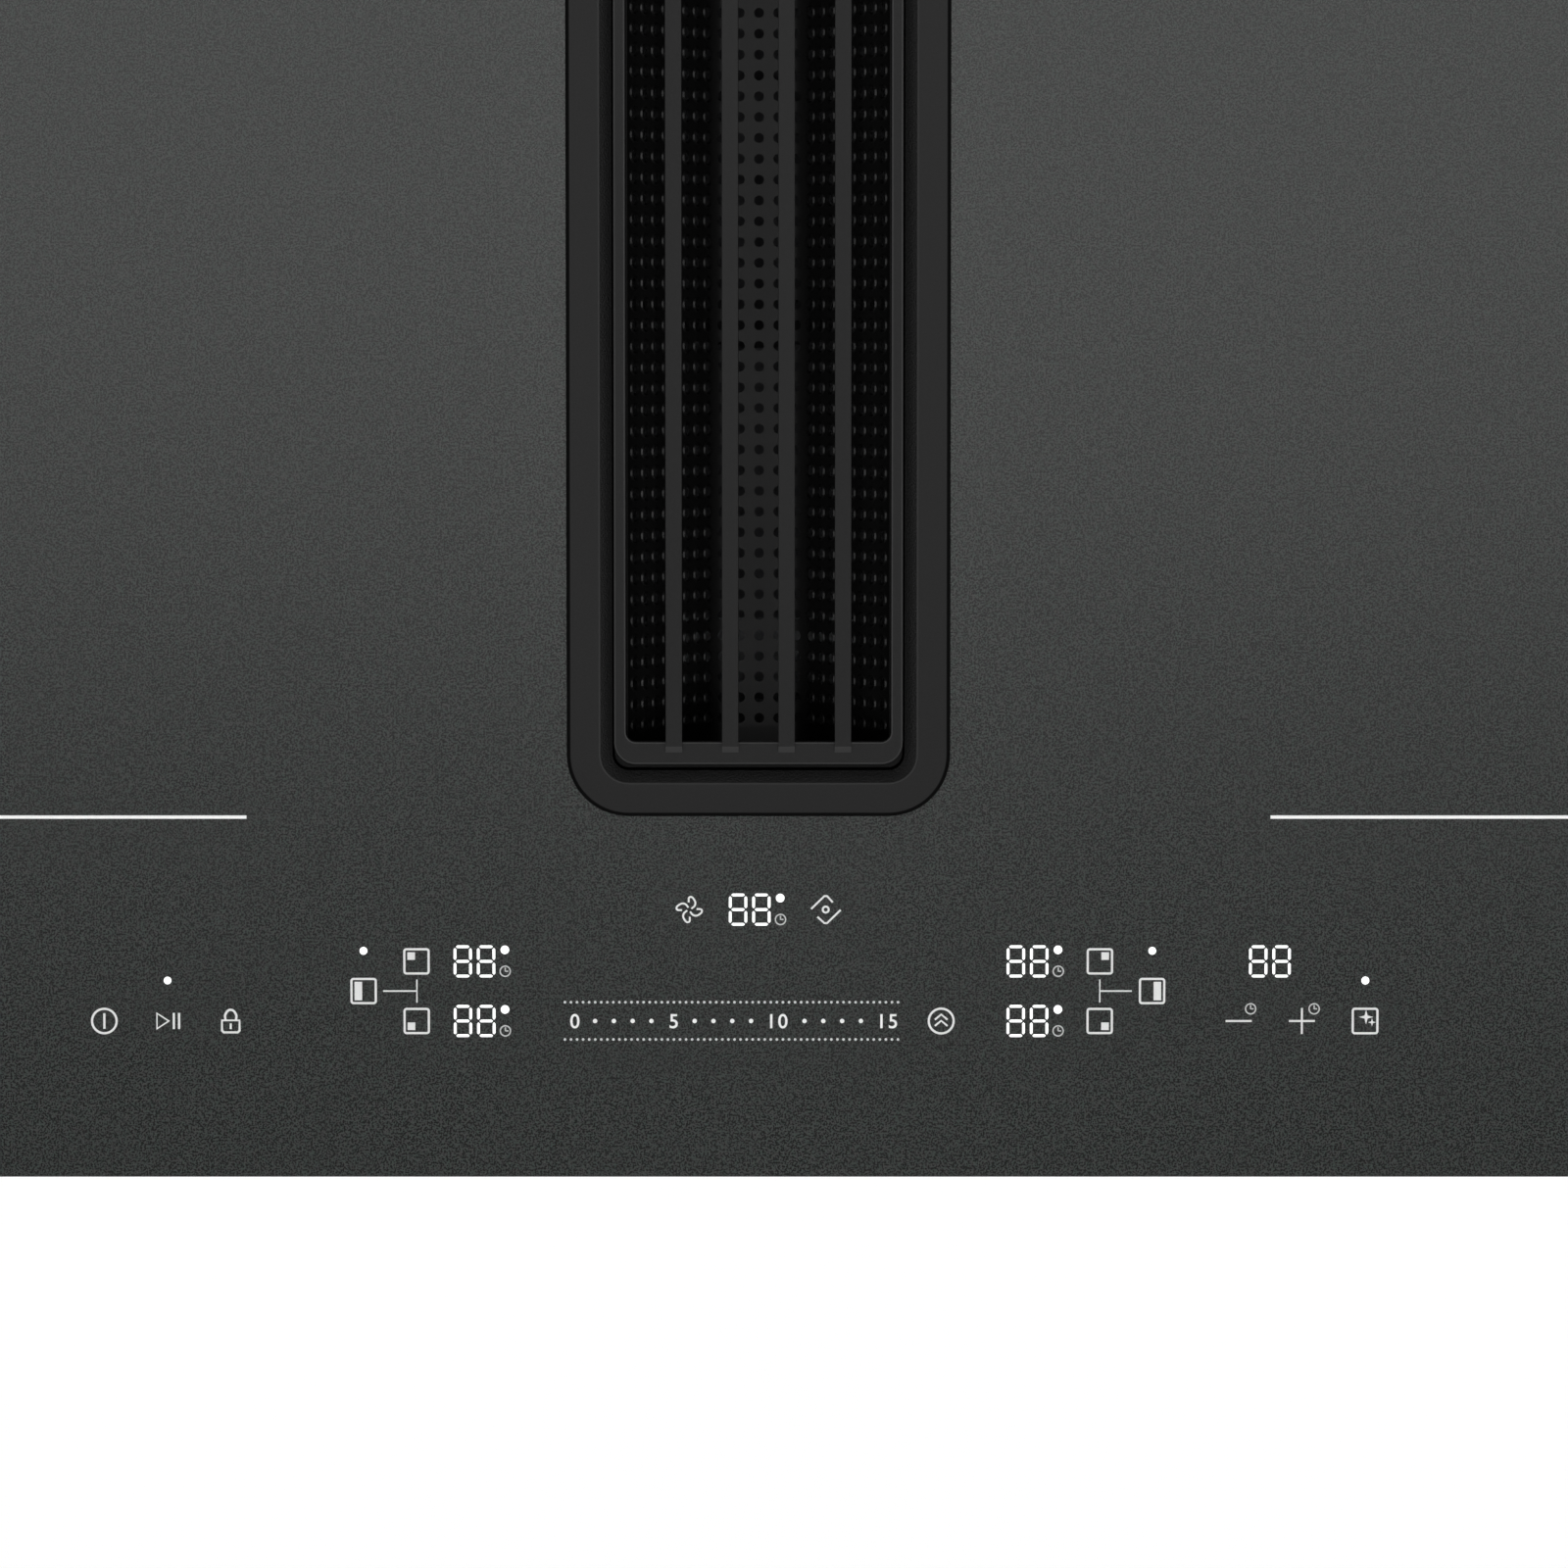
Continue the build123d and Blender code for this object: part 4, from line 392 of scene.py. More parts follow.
# %% [markdown]
# ## Satin black frame, grille and filter
# The frame's flat rim is smooth and satin, and its slope down to the grille is textured. The
# texture is the same paint over a sand-blasted mould, so it comes from one noise whose height is
# switched on below the level of the rim. The grille is cast and a little coarser all over.

# %% Black metal finishes
BLACK = 0.0095
FILTER_BLACK = 0.0045
RIM_TEXTURE = 0.02


def black_finish(name, size, height, roughness, specular, tone=BLACK):
    """Black paint over a fine even grain."""
    material, shader = new_finish(name, roughness, 0, specular)
    pattern = grain(material, NOISE, (size,) * 3, Detail=2.0)
    two_tones(material, shader, pattern.outputs[0], (0.85 * tone,) * 3, (1.15 * tone,) * 3)
    return material, pattern, lift(material, shader, pattern.outputs[0], height)


black_finish("grille_black", 0.5, 0.02, 0.42, 0.22)
black_finish("filter_metal", 0.6, 0.01, 0.34, 0.3, tone=FILTER_BLACK)

material, pattern, bump = black_finish("satin_black", 0.55, 0.45, 0.42, 0.22)
place = add_node(material, "ShaderNodeTexCoord")
height = add_node(material, "ShaderNodeSeparateXYZ")
below = add_node(
    material,
    "ShaderNodeMapRange",
    From_Min=RIM_TOP - 0.3 * MM,
    From_Max=RIM_TOP - 0.1 * MM,
    To_Min=1.0,
    To_Max=RIM_TEXTURE,
)
links = material.node_tree.links
links.new(place.outputs["Object"], height.inputs["Vector"])
links.new(height.outputs["Z"], below.inputs["Value"])
links.new(below.outputs["Result"], bump.inputs["Strength"])
print("black finishes", [name for name in finishes if "black" in name])

# %% [markdown]
# ## Painted light and shade on edges
# The rim's rounded outer edge gets a dark tone with little sheen, a painted shadow line. Broken
# edges get a lighter tone with more sheen as painted highlights, and the upward parts of the lips
# round the filter's holes get painted glints. The cut walls of the holes get painted shade. The
# mesh marks such faces, and the finish reads the marks.

# %% Marks that a finish can read
# Tones of painted light and shade: dark for painted shadow and shade, lighter for painted highlights and
# glints.
SHADE_TONE = (0.003,) * 3
HIGHLIGHT_TONE = (0.021,) * 3
GLINT_TONE = (0.035,) * 3


def overlay(material, mask, colour, sheen):
    """Lay an even tone with its own sheen over a finish where a mask is one."""
    shader = material.node_tree.nodes["Principled BSDF"]
    mix = add_node(material, "ShaderNodeMix")
    mix.data_type = "RGBA"
    mix.inputs[7].default_value = (*colour, 1)
    links = material.node_tree.links
    links.new(mask, mix.inputs[0])
    links.new(shader.inputs["Base Color"].links[0].from_socket, mix.inputs[6])
    links.new(mix.outputs[2], shader.inputs["Base Color"])
    shine = add_node(material, "ShaderNodeMix", A=shader.inputs["Specular IOR Level"].default_value, B=sheen)
    links.new(mask, shine.inputs[0])
    links.new(shine.outputs[0], shader.inputs["Specular IOR Level"])


def mark_faces(piece, name, test):
    """Keep a mark on the faces that pass a test, or a share of it where the test gives one."""
    mark = piece.data.attributes.new(name, "FLOAT", "FACE")
    mark.data.foreach_set("value", [float(test(face)) for face in piece.data.polygons])


# Each mark lays painted light or shade over its finish.
for finish, mark, tone, sheen in (
    ("satin_black", "painted_highlight", HIGHLIGHT_TONE, 0.4),
    ("satin_black", "painted_edge_shadow", SHADE_TONE, 0.02),
    ("filter_metal", "painted_glint", GLINT_TONE, 0.7),
    ("filter_metal", "painted_shade", SHADE_TONE, 0.02),
    ("grille_black", "painted_highlight", HIGHLIGHT_TONE, 0.5),
):
    reader = add_node(finishes[finish], "ShaderNodeAttribute")
    reader.attribute_name = mark
    overlay(finishes[finish], reader.outputs["Fac"], tone, sheen)
print("satin black nodes", len(finishes["satin_black"].node_tree.nodes))

# %% [markdown]
# ## Printed and lit marks
# The marks are printed in light grey under a clear glaze. Each ink is a plain tone with the faint
# unevenness of screen printing. The digits and the dots beside them are lit from below.

# %% Inks
INKS = {"icon": 0.68, "line": 0.84, "tick": 0.54, "number": 0.78, "clock": 0.46, "lit": 0.9}
LIT_STRENGTH = 0.5


def ink_finish(name, tone):
    """Matt ink, a little uneven."""
    material, shader = new_finish("ink_" + name, 0.6)
    pattern = grain(material, NOISE, (0.4,) * 3)
    two_tones(material, shader, pattern.outputs[0], (0.95 * tone,) * 3, (1.03 * tone,) * 3)
    return shader


for name, tone in INKS.items():
    shader = ink_finish(name, tone)
    if name == "lit":
        shader.inputs["Emission Color"].default_value = WHITE
        shader.inputs["Emission Strength"].default_value = LIT_STRENGTH
print("inks", list(INKS))

# %% [markdown]
# ## Modelling tools
# Work goes as by hand: add a block at its place, go into edit mode, pick faces or edges by where
# they are, and round, inset or extrude them. Holes are cut with a second block. Each finished
# piece gets weighted normals, so that large faces look flat and only the narrow edges look round.

# %% Blocks, picking and cutting
TINY = 1e-6
SMOOTH_UNDER = 30


def settle(name, scale=(1, 1, 1)):
    """Name what was just added, and put its place, turn and size into its mesh."""
    piece = bpy.context.object
    piece.name = name
    piece.scale = scale
    bpy.ops.object.transform_apply(location=True, rotation=True, scale=True)
    return piece


def lay_block(name, low, high):
    """A block between two corners."""
    low, high = Vector(low), Vector(high)
    bpy.ops.mesh.primitive_cube_add(size=1, location=(low + high) / 2)
    return settle(name, high - low)


def pick(piece, kind, test=lambda part: True):
    """Select, in edit mode, the vertices, edges or faces that pass a test, or all of them."""
    bpy.context.view_layer.objects.active = piece
    bpy.ops.object.mode_set(mode="EDIT")
    bpy.ops.mesh.select_mode(type=kind)
    bpy.ops.mesh.select_all(action="DESELECT")
    mesh = bmesh.from_edit_mesh(piece.data)
    for part in {"VERT": mesh.verts, "EDGE": mesh.edges, "FACE": mesh.faces}[kind]:
        part.select_set(test(part))
    mesh.select_flush_mode()
    bmesh.update_edit_mesh(piece.data)


def leave():
    """Back to object mode."""
    bpy.ops.object.mode_set(mode="OBJECT")


def upright(edge):
    """True for an edge that stands up."""
    start, end = (v.co for v in edge.verts)
    return (end - start).to_2d().length < TINY


def level_at(height):
    """A test for edges that lie at a height."""
    return lambda edge: all(abs(v.co.z - height) < TINY for v in edge.verts)


def round_edges(piece, test, width, segments):
    """Bevel the edges that pass a test."""
    pick(piece, "EDGE", test)
    bpy.ops.mesh.bevel(offset=width, segments=segments, affect="EDGES")
    leave()


def rounded_block(name, centre_y, width, length, radius, bottom, top):
    """A block on the slot's axis with rounded upright edges."""
    block = lay_block(
        name, (-width / 2, centre_y - length / 2, bottom), (width / 2, centre_y + length / 2, top)
    )
    round_edges(block, upright, radius, 8)
    return block


def modify(piece, kind, **settings):
    """Give a piece a modifier with these settings and apply it."""
    bpy.context.view_layer.objects.active = piece
    modifier = piece.modifiers.new(kind.lower(), kind)
    for setting, value in settings.items():
        setattr(modifier, setting, value)
    bpy.ops.object.modifier_apply(modifier=modifier.name)


def cut_away(piece, cutter):
    """Take the cutter's shape out of a piece, then throw the cutter away."""
    modify(piece, "BOOLEAN", solver="EXACT", object=cutter)
    bpy.data.objects.remove(cutter)


def repeat_along(piece, count, step):
    """Repeat a piece's mesh in a row and merge where the copies meet."""
    modify(
        piece,
        "ARRAY",
        count=count,
        use_relative_offset=False,
        use_constant_offset=True,
        constant_offset_displace=step,
        use_merge_vertices=True,
        merge_threshold=0.02 * MM,
    )


def select_only(*chosen):
    """Select these objects and make the first one active."""
    bpy.ops.object.select_all(action="DESELECT")
    for piece in chosen:
        piece.select_set(True)
    bpy.context.view_layer.objects.active = chosen[0]


def weld(name, pieces):
    """Join pieces into one object."""
    select_only(*pieces)
    if len(pieces) > 1:
        bpy.ops.object.join()
    piece = bpy.context.object
    piece.name = name
    return piece


def dress(piece, body, slot, *stands_for, finish=None):
    """Shade a finished piece, give it its finish, tie it to its body and hide the CAD nodes it stands for.
    """
    select_only(piece)
    bpy.ops.object.shade_smooth_by_angle(angle=radians(SMOOTH_UNDER))
    modify(piece, "WEIGHTED_NORMAL", keep_sharp=True)
    piece.data.materials.clear()
    piece.data.materials.append(finishes[finish or slot])
    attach(piece, body)
    if stands_for:
        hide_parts(*stands_for)
    print(piece.name, "faces", len(piece.data.polygons))
    return piece


print("modelling tools ready")

# %% [markdown]
# ## The glass
# A four-millimetre sheet with small corner radii. Its upper edge is ground to a narrow rounded
# bevel, which shows as one bright line along the front. The opening under the slot frame is cut
# with a rounded block.

# %% Model the glass
GLASS_CORNER = 5 * MM
GLASS_BEVEL = 0.8 * MM
RIM_OVERLAP = 7.75 * MM
SLOT_CORNER = 18.7 * MM
glass = lay_block("glass_sheet", glass_low, glass_high)
round_edges(glass, upright, GLASS_CORNER, 8)
round_edges(glass, level_at(GLASS_TOP), GLASS_BEVEL, 3)
opening = rounded_block(
    "opening",
    SLOT_Y,
    SLOT_WIDTH - 2 * RIM_OVERLAP,
    SLOT_LENGTH - 2 * RIM_OVERLAP,
    SLOT_CORNER - RIM_OVERLAP,
    glass_low.z - 5 * MM,
    GLASS_TOP + 5 * MM,
)
cut_away(glass, opening)
dress(glass, "root", "glass_ceramic", "glass_top")

# %% [markdown]
# ## The slot frame
# One moulding: a flat rim proud of the glass, a textured slope down into the slot, a straight
# tube and a small ledge that carries the filter. Its upper skin and its under skin are each drawn
# as a rounded face that is inset and pushed down step by step, and the two are stitched together.

# %% Model the slot frame
RIM_HEIGHT = 1.2 * MM
UPPER_STEPS = [("in", 10.0), ("slope", 3.7), ("down", 17.4), ("in", 4.0), ("down", 2.0)]
UNDER_STEPS = [("in", 9.0), ("down", 3.5), ("in", 2.9), ("down", 18.4), ("in", 5.8)]


def stepped_skin(name, level, steps):
    """A rounded face taken inwards and downwards by steps, open at its bottom."""
    bpy.ops.mesh.primitive_plane_add(size=1, location=(0, SLOT_Y, level))
    skin = settle(name, (SLOT_WIDTH, SLOT_LENGTH, 1))
    pick(skin, "VERT")
    bpy.ops.mesh.bevel(offset=SLOT_CORNER, segments=16, affect="VERTICES")
    bpy.ops.mesh.select_mode(type="FACE")
    bpy.ops.mesh.select_all(action="SELECT")
    for kind, size in steps:
        if kind == "down":
            bpy.ops.mesh.extrude_region_move(TRANSFORM_OT_translate={"value": (0, 0, -size * MM)})
        else:
            bpy.ops.mesh.inset(thickness=size * MM, depth=-size * MM if kind == "slope" else 0)
    bpy.ops.mesh.delete(type="FACE")
    leave()
    return skin


upper = stepped_skin("upper_skin", RIM_TOP, UPPER_STEPS)
pick(upper, "EDGE", lambda edge: edge.is_boundary and level_at(RIM_TOP)(edge))
bpy.ops.mesh.extrude_edges_move(TRANSFORM_OT_translate={"value": (0, 0, -RIM_HEIGHT)})
leave()
under = stepped_skin("under_skin", RIM_TOP - RIM_HEIGHT, UNDER_STEPS)
slot_rim = weld("slot_rim", [upper, under])
pick(slot_rim, "VERT")
bpy.ops.mesh.remove_doubles(threshold=0.02 * MM)
bpy.ops.mesh.normals_make_consistent(inside=False)
leave()
print("open edges left", sum(1 for edge in slot_rim.data.edges if edge.is_loose))

# %% Round the rim's edges
RIM_ROUND = 1.15 * MM
INNER_BREAK = 0.3 * MM


def rim_outline(edge):
    """The rim's outer upper edge: flat face on one side, standing wall on the other."""
    walls = [abs(face.normal.z) for face in edge.link_faces]
    return level_at(RIM_TOP)(edge) and len(walls) == 2 and min(walls) < 0.1


def rim_inner_edge(edge):
    """Where the flat rim turns down into the slope."""
    walls = [abs(face.normal.z) for face in edge.link_faces]
    return level_at(RIM_TOP)(edge) and len(walls) == 2 and 0.5 < min(walls) < 0.9


round_edges(slot_rim, rim_inner_edge, INNER_BREAK, 2)
round_edges(slot_rim, rim_outline, RIM_ROUND, 4)
slot_low, slot_high = rim_low.xy, rim_high.xy


def edge_shadow_face(face):
    """True on the rounded outer edge of the rim, which gets the painted shadow line."""
    outside = min(
        face.center.x - slot_low.x,
        slot_high.x - face.center.x,
        face.center.y - slot_low.y,
        slot_high.y - face.center.y,
    )
    return face.center.z > RIM_TOP - RIM_HEIGHT and face.normal.z < 0.99 and outside < SLOT_CORNER / 2


def inner_break(face):
    """True on the broken edge between the flat rim and the slope."""
    return face.center.z > RIM_TOP - INNER_BREAK and 0.75 < face.normal.z < 0.99


# Painted shadow line on the rim's rounded outer edge.
mark_faces(slot_rim, "painted_edge_shadow", edge_shadow_face)
# Painted highlight on the edge between the rim and the slope.
mark_faces(slot_rim, "painted_highlight", inner_break)
dress(slot_rim, "root", "satin_black", "slot_frame")

# %% [markdown]
# ## The grille
# A cast ring with four bars laid over it. The ring is a rounded block with a rounded window, and
# its edges are broken all round. One bar is modelled: a strip whose middle part drops between the
# end rails, and whose ends are chamfered where they lie on them. It starts a little behind the
# front end of the CAD's bar. Then it is copied three times.

# %% Model the grille ring
RING_CORNER = 6.5 * MM
RING_WINDOW_CORNER = 3.0 * MM
SIDE_RAIL = 3.6 * MM
END_RAIL = 6.8 * MM
RING_BREAK = 0.5 * MM
ring_low, ring_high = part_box("grille_ring")
ring_width, ring_length = ring_high.x - ring_low.x, ring_high.y - ring_low.y
ring_y = (ring_low.y + ring_high.y) / 2
ring = rounded_block("grille_frame", ring_y, ring_width, ring_length, RING_CORNER, ring_low.z, ring_high.z)
window = rounded_block(
    "window",
    ring_y,
    ring_width - 2 * SIDE_RAIL,
    ring_length - 2 * END_RAIL,
    RING_WINDOW_CORNER,
    ring_low.z - 5 * MM,
    ring_high.z + 5 * MM,
)
cut_away(ring, window)


def crease(edge):
    """An edge between a level face and a standing one."""
    slopes = [abs(face.normal.z) for face in edge.link_faces]
    return len(slopes) == 2 and min(slopes) < 0.1 and max(slopes) > 0.9


def ring_break(face):
    """True on the upper part of the ring's broken edge."""
    return face.center.z > ring_high.z - 0.4 * MM and 0.2 < face.normal.z < 0.99


round_edges(ring, crease, RING_BREAK, 3)
# Painted highlight on the ring's upper broken edges.
mark_faces(ring, "painted_highlight", ring_break)
dress(ring, "grille", "grille_black", "grille_ring")

# %% Model one bar and copy it
BAR_COUNT = 4
BAR_WIDTH = 5 * MM
BAR_PITCH = 16.96 * MM
BAR_CHAMFER = 1.9 * MM
BAR_FIT = 0.1 * MM
BAR_SHORT = 0.9 * MM
BAR_BREAK = 0.3 * MM
bars_low, bars_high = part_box("grille_bars")
first_x = -(BAR_COUNT - 1) / 2 * BAR_PITCH
bar_front = bars_low.y + BAR_SHORT
bar = lay_block(
    "grille_bar",
    (first_x - BAR_WIDTH / 2, bar_front, ring_high.z),
    (first_x + BAR_WIDTH / 2, bars_high.y, bars_high.z),
)
for rail_edge in (ring_low.y + END_RAIL + BAR_FIT, ring_high.y - END_RAIL - BAR_FIT):
    pick(bar, "FACE")
    bpy.ops.mesh.bisect(plane_co=(0, rail_edge, 0), plane_no=(0, 1, 0))
    leave()
pick(
    bar,
    "FACE",
    lambda face: face.normal.z < -0.9 and abs(face.calc_center_median().y - ring_y) < 10 * MM,
)
bpy.ops.mesh.extrude_region_move(TRANSFORM_OT_translate={"value": (0, 0, ring_low.z - ring_high.z)})
leave()


def bar_end(edge):
    """An upper edge across one end of the bar."""
    ends = bar_front, bars_high.y
    return level_at(bars_high.z)(edge) and all(min(abs(v.co.y - y) for y in ends) < TINY for v in edge.verts)


def bar_side(edge):
    """A sharp edge along the bar."""
    return edge.calc_face_angle(0) > radians(30) and edge.calc_length() > 20 * MM


round_edges(bar, bar_end, BAR_CHAMFER, 1)
round_edges(bar, bar_side, BAR_BREAK, 2)
# Painted highlight on the chamfers at the bars' front ends.
mark_faces(bar, "painted_highlight", lambda face: 0.5 < face.normal.z < 0.9 and face.normal.y < -0.5)
bars = [bar]
for number in range(1, BAR_COUNT):
    select_only(bar)
    bpy.ops.object.duplicate()
    copy = bpy.context.object
    copy.location.x = number * BAR_PITCH
    bars.append(settle("grille_bar"))
dress(weld("grille_bar_set", bars), "grille", "grille_black", "grille_bars")

# %% [markdown]
# ## The perforated filter
# The trough is one sheet, punched with about eleven hundred round holes and folded to a flat floor
# and two steep walls. The way to make it is the way a workshop does: punch one cell, repeat it
# across and along, leave plain margins, fold the flat sheet, close its ends and give it thickness.
# The punch lifts a low lip round the holes of the walls, and the part of each lip that faces up gets
# a painted glint. The sheet's own lip is narrow, so that the ring above hides it.

# %% Punch the flat sheet
HOLE_RADIUS = 1.55 * MM
PITCH_ACROSS = 5.95 * MM
PITCH_ALONG = 6.4 * MM
PUNCH_LIP = 0.5 * MM
PUNCH_SPREAD = 0.7 * MM
FLOOR_COLUMNS = 5
FIRST_ROW = 9.2 * MM
LAST_MARGIN = 5.6 * MM
COLUMNS = 21
SHEET = 0.8 * MM
LIP = 0.4 * MM
LIP_CORNER = 3 * MM
MOUTH_CORNER = 1.5 * MM
TROUGH_FLOOR = 28 * MM
FACING_UP = 1.8
trough_low, trough_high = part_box("filter_trough")
TROUGH_TOP = trough_high.z - SHEET
half_top = (trough_high.x - trough_low.x) / 2 - LIP
front, rear = trough_low.y + LIP, trough_high.y - LIP
depth = TROUGH_TOP - trough_low.z
rows = int((rear - front - FIRST_ROW - LAST_MARGIN) / PITCH_ALONG) + 1
first_column = -(COLUMNS - 1) / 2 * PITCH_ACROSS
cell = Vector((first_column, front + FIRST_ROW, 0))
bpy.ops.mesh.primitive_circle_add(vertices=16, radius=HOLE_RADIUS, location=cell)
trough = settle("filter_sheet")
pick(trough, "EDGE")
bpy.ops.transform.translate(value=(0, 0, PUNCH_LIP))
bpy.ops.mesh.extrude_edges_move(TRANSFORM_OT_translate={"value": (0, 0, -PUNCH_LIP)})
spread = 1 + PUNCH_SPREAD / HOLE_RADIUS
bpy.ops.transform.resize(value=(spread, spread, 1), center_override=cell)
bpy.ops.mesh.extrude_edges_move()
mesh = bmesh.from_edit_mesh(trough.data)
for vertex in [v for v in mesh.verts if v.select]:
    away = vertex.co - cell
    reach = max(abs(away.x), abs(away.y))
    vertex.co.x = cell.x + away.x / reach * PITCH_ACROSS / 2
    vertex.co.y = cell.y + away.y / reach * PITCH_ALONG / 2
leave()
repeat_along(trough, COLUMNS, (PITCH_ACROSS, 0, 0))
repeat_along(trough, rows, (0, PITCH_ALONG, 0))
print("punched sheet: rows", rows, "columns", COLUMNS, "faces", len(trough.data.polygons))

# %% Margins and fold
def faces_up(face):
    """True on the part of a punched lip that faces up once the wall is folded."""
    x, y = face.center.x, face.center.y
    across = (x - cell.x + PITCH_ACROSS / 2) % PITCH_ACROSS - PITCH_ACROSS / 2
    along = (y - cell.y + PITCH_ALONG / 2) % PITCH_ALONG - PITCH_ALONG / 2
    on_wall = abs(x) > FLOOR_COLUMNS / 2 * PITCH_ACROSS and abs(face.normal.z) < 0.9
    return on_wall and across * x > 0 and abs(across) > FACING_UP * abs(along)


# Painted glint on the upward part of each lip on the walls.
mark_faces(trough, "painted_glint", faces_up)
FOLD_RADIUS = 10 * MM
half_floor = TROUGH_FLOOR / 2
wall_angle = atan2(depth, half_top - half_floor)
tangent = FOLD_RADIUS * tan(wall_angle / 2)
flat_half = half_floor - tangent
bend_length = FOLD_RADIUS * wall_angle
wall_length = hypot(depth, half_top - half_floor) - tangent
half_sheet = flat_half + bend_length + wall_length


def pull_border(piece, axis, end, target):
    """Extrude the border edges at one end of the sheet straight out to a coordinate."""
    border = end(v.co[axis] for v in piece.data.vertices)
    pick(piece, "EDGE", lambda e: e.is_boundary and all(abs(v.co[axis] - border) < TINY for v in e.verts))
    move = [0, 0, 0]
    move[axis] = target - border
    bpy.ops.mesh.extrude_edges_move(TRANSFORM_OT_translate={"value": move})
    leave()


pull_border(trough, 0, min, -half_sheet)
pull_border(trough, 0, max, half_sheet)
pull_border(trough, 1, min, front)
pull_border(trough, 1, max, rear)


def folded(along, lift):
    """Where a point of the flat sheet goes: its distance from the middle and its height."""
    if along < FLOOR_COLUMNS / 2 * PITCH_ACROSS:
        lift = 0.0
    turn = min(max(along - flat_half, 0.0), bend_length) / FOLD_RADIUS
    beyond = max(along - flat_half - bend_length, 0.0)
    out = min(along, flat_half) + FOLD_RADIUS * sin(turn) + beyond * cos(turn)
    rise = FOLD_RADIUS * (1 - cos(turn)) + beyond * sin(turn)
    return out - lift * sin(turn), rise + lift * cos(turn)


for vertex in trough.data.vertices:
    out, rise = folded(abs(vertex.co.x), vertex.co.z)
    vertex.co.x = out if vertex.co.x > 0 else -out
    vertex.co.z = trough_low.z + rise
print("folded: half sheet", round(half_sheet, 4), "half top", round(half_top, 4))

# %% Close the ends, thicken and add the lip
for end in (front, rear):
    pick(trough, "EDGE", lambda e: e.is_boundary and all(abs(v.co.y - end) < TINY for v in e.verts))
    bpy.ops.mesh.edge_face_add()
    leave()
pick(trough, "FACE")
bpy.ops.mesh.normals_make_consistent(inside=False)
leave()
middle = min(trough.data.polygons, key=lambda face: (face.center.xy - Vector((0, ring_y))).length)
if middle.normal.z > 0:
    pick(trough, "FACE")
    bpy.ops.mesh.flip_normals()
    leave()
for _ in ("skins", "hole walls"):
    trough.data.materials.append(finishes["filter_metal"])
modify(trough, "SOLIDIFY", thickness=SHEET, offset=-1, material_offset_rim=1)
# Painted shade on the cut walls of the holes.
mark_faces(trough, "painted_shade", lambda face: face.material_index == 1)
trough.data.polygons.foreach_set("material_index", [0] * len(trough.data.polygons))
lip_length = trough_high.y - trough_low.y
lip_y = (trough_low.y + trough_high.y) / 2
lip_width = 2 * half_top + 2 * LIP
lip = rounded_block("lip", lip_y, lip_width, lip_length, LIP_CORNER, TROUGH_TOP, trough_high.z)
mouth = rounded_block(
    "mouth",
    lip_y,
    2 * half_top - 2 * SHEET,
    lip_length - 2 * LIP - 2 * SHEET,
    MOUTH_CORNER,
    TROUGH_TOP - 2 * MM,
    trough_high.z + 2 * MM,
)
cut_away(lip, mouth)
dress(weld("filter_basket", [trough, lip]), "filter", "filter_metal", "filter_trough")

# %% [markdown]
# ## Printed marks: flat shapes
# Marks lie on the glass as a film of ink. Squares, rings and bars are flat faces that are inset
# and opened where only their outline is printed. Thin lines with corners or curves are drawn as
# round strokes pressed flat.

# %% Flat shapes and strokes
INK = 0.05 * MM
PRINT = GLASS_TOP
STROKE = 0.66
KEY_ROW = glass_low.y / MM + 47.5
LINK_ROW = glass_low.y / MM + 56.6
ZONE_ROW = glass_low.y / MM + 65.6
TOP_ROW = glass_low.y / MM + 81.3
flats = {name: [] for name in INKS}
strokes = {name: [] for name in INKS}


def open_up(piece, stroke):
    """Leave only the outline of a flat shape."""
    pick(piece, "FACE")
    bpy.ops.mesh.inset(thickness=stroke * MM)
    bpy.ops.mesh.delete(type="FACE")
    leave()


def ink_box(ink, x, y, width, height, corner=0.0, outline=0.0):
    """A printed rectangle in millimetres, filled or in outline."""
    bpy.ops.mesh.primitive_plane_add(size=1, location=(x * MM, y * MM, PRINT))
    box = settle("mark", (width * MM, height * MM, 1))
    if corner:
        pick(box, "VERT")
        bpy.ops.mesh.bevel(offset=corner * MM, segments=4, affect="VERTICES")
        leave()
    if outline:
        open_up(box, outline)
    flats[ink].append(box)


def ink_disc(ink, x, y, diameter, outline=0.0, corners=32):
    """A printed dot or ring."""
    bpy.ops.mesh.primitive_circle_add(
        vertices=corners,
        radius=diameter / 2 * MM,
        fill_type="NGON",
        location=(x * MM, y * MM, PRINT),
    )
    disc = settle("mark")
    if outline:
        open_up(disc, outline)
    flats[ink].append(disc)
    return disc


def ink_stroke(ink, x, y, points, width=STROKE, closed=False, curved=False):
    """A line through points, pressed flat onto the glass."""
    bpy.ops.curve.primitive_bezier_curve_add()
    line = bpy.context.object
    spline = line.data.splines[0]
    spline.bezier_points.add(len(points) - 2)
    for knot, (dx, dy) in zip(spline.bezier_points, points):
        knot.co = (dx * MM, dy * MM, 0)
        knot.handle_left_type = knot.handle_right_type = "AUTO" if curved else "VECTOR"
    spline.use_cyclic_u = closed
    spline.resolution_u = 6
    line.data.bevel_depth = width / 2 * MM
    line.data.bevel_resolution = 1
    line.data.use_fill_caps = True
    bpy.ops.object.convert(target="MESH")
    line = bpy.context.object
    line.location = (x * MM, y * MM, PRINT + INK / 2)
    strokes[ink].append(settle("mark", (1, 1, INK / width / MM)))


print("rows", [round(row, 1) for row in (KEY_ROW, LINK_ROW, ZONE_ROW, TOP_ROW)])

# %% [markdown]
# ## Printed marks: keys of the left and right side
# From the left: on and off, start and pause, lock, then for each side of the hob two zone keys
# and a bridge key that joins them. The filled part of a small square says which zone it means.

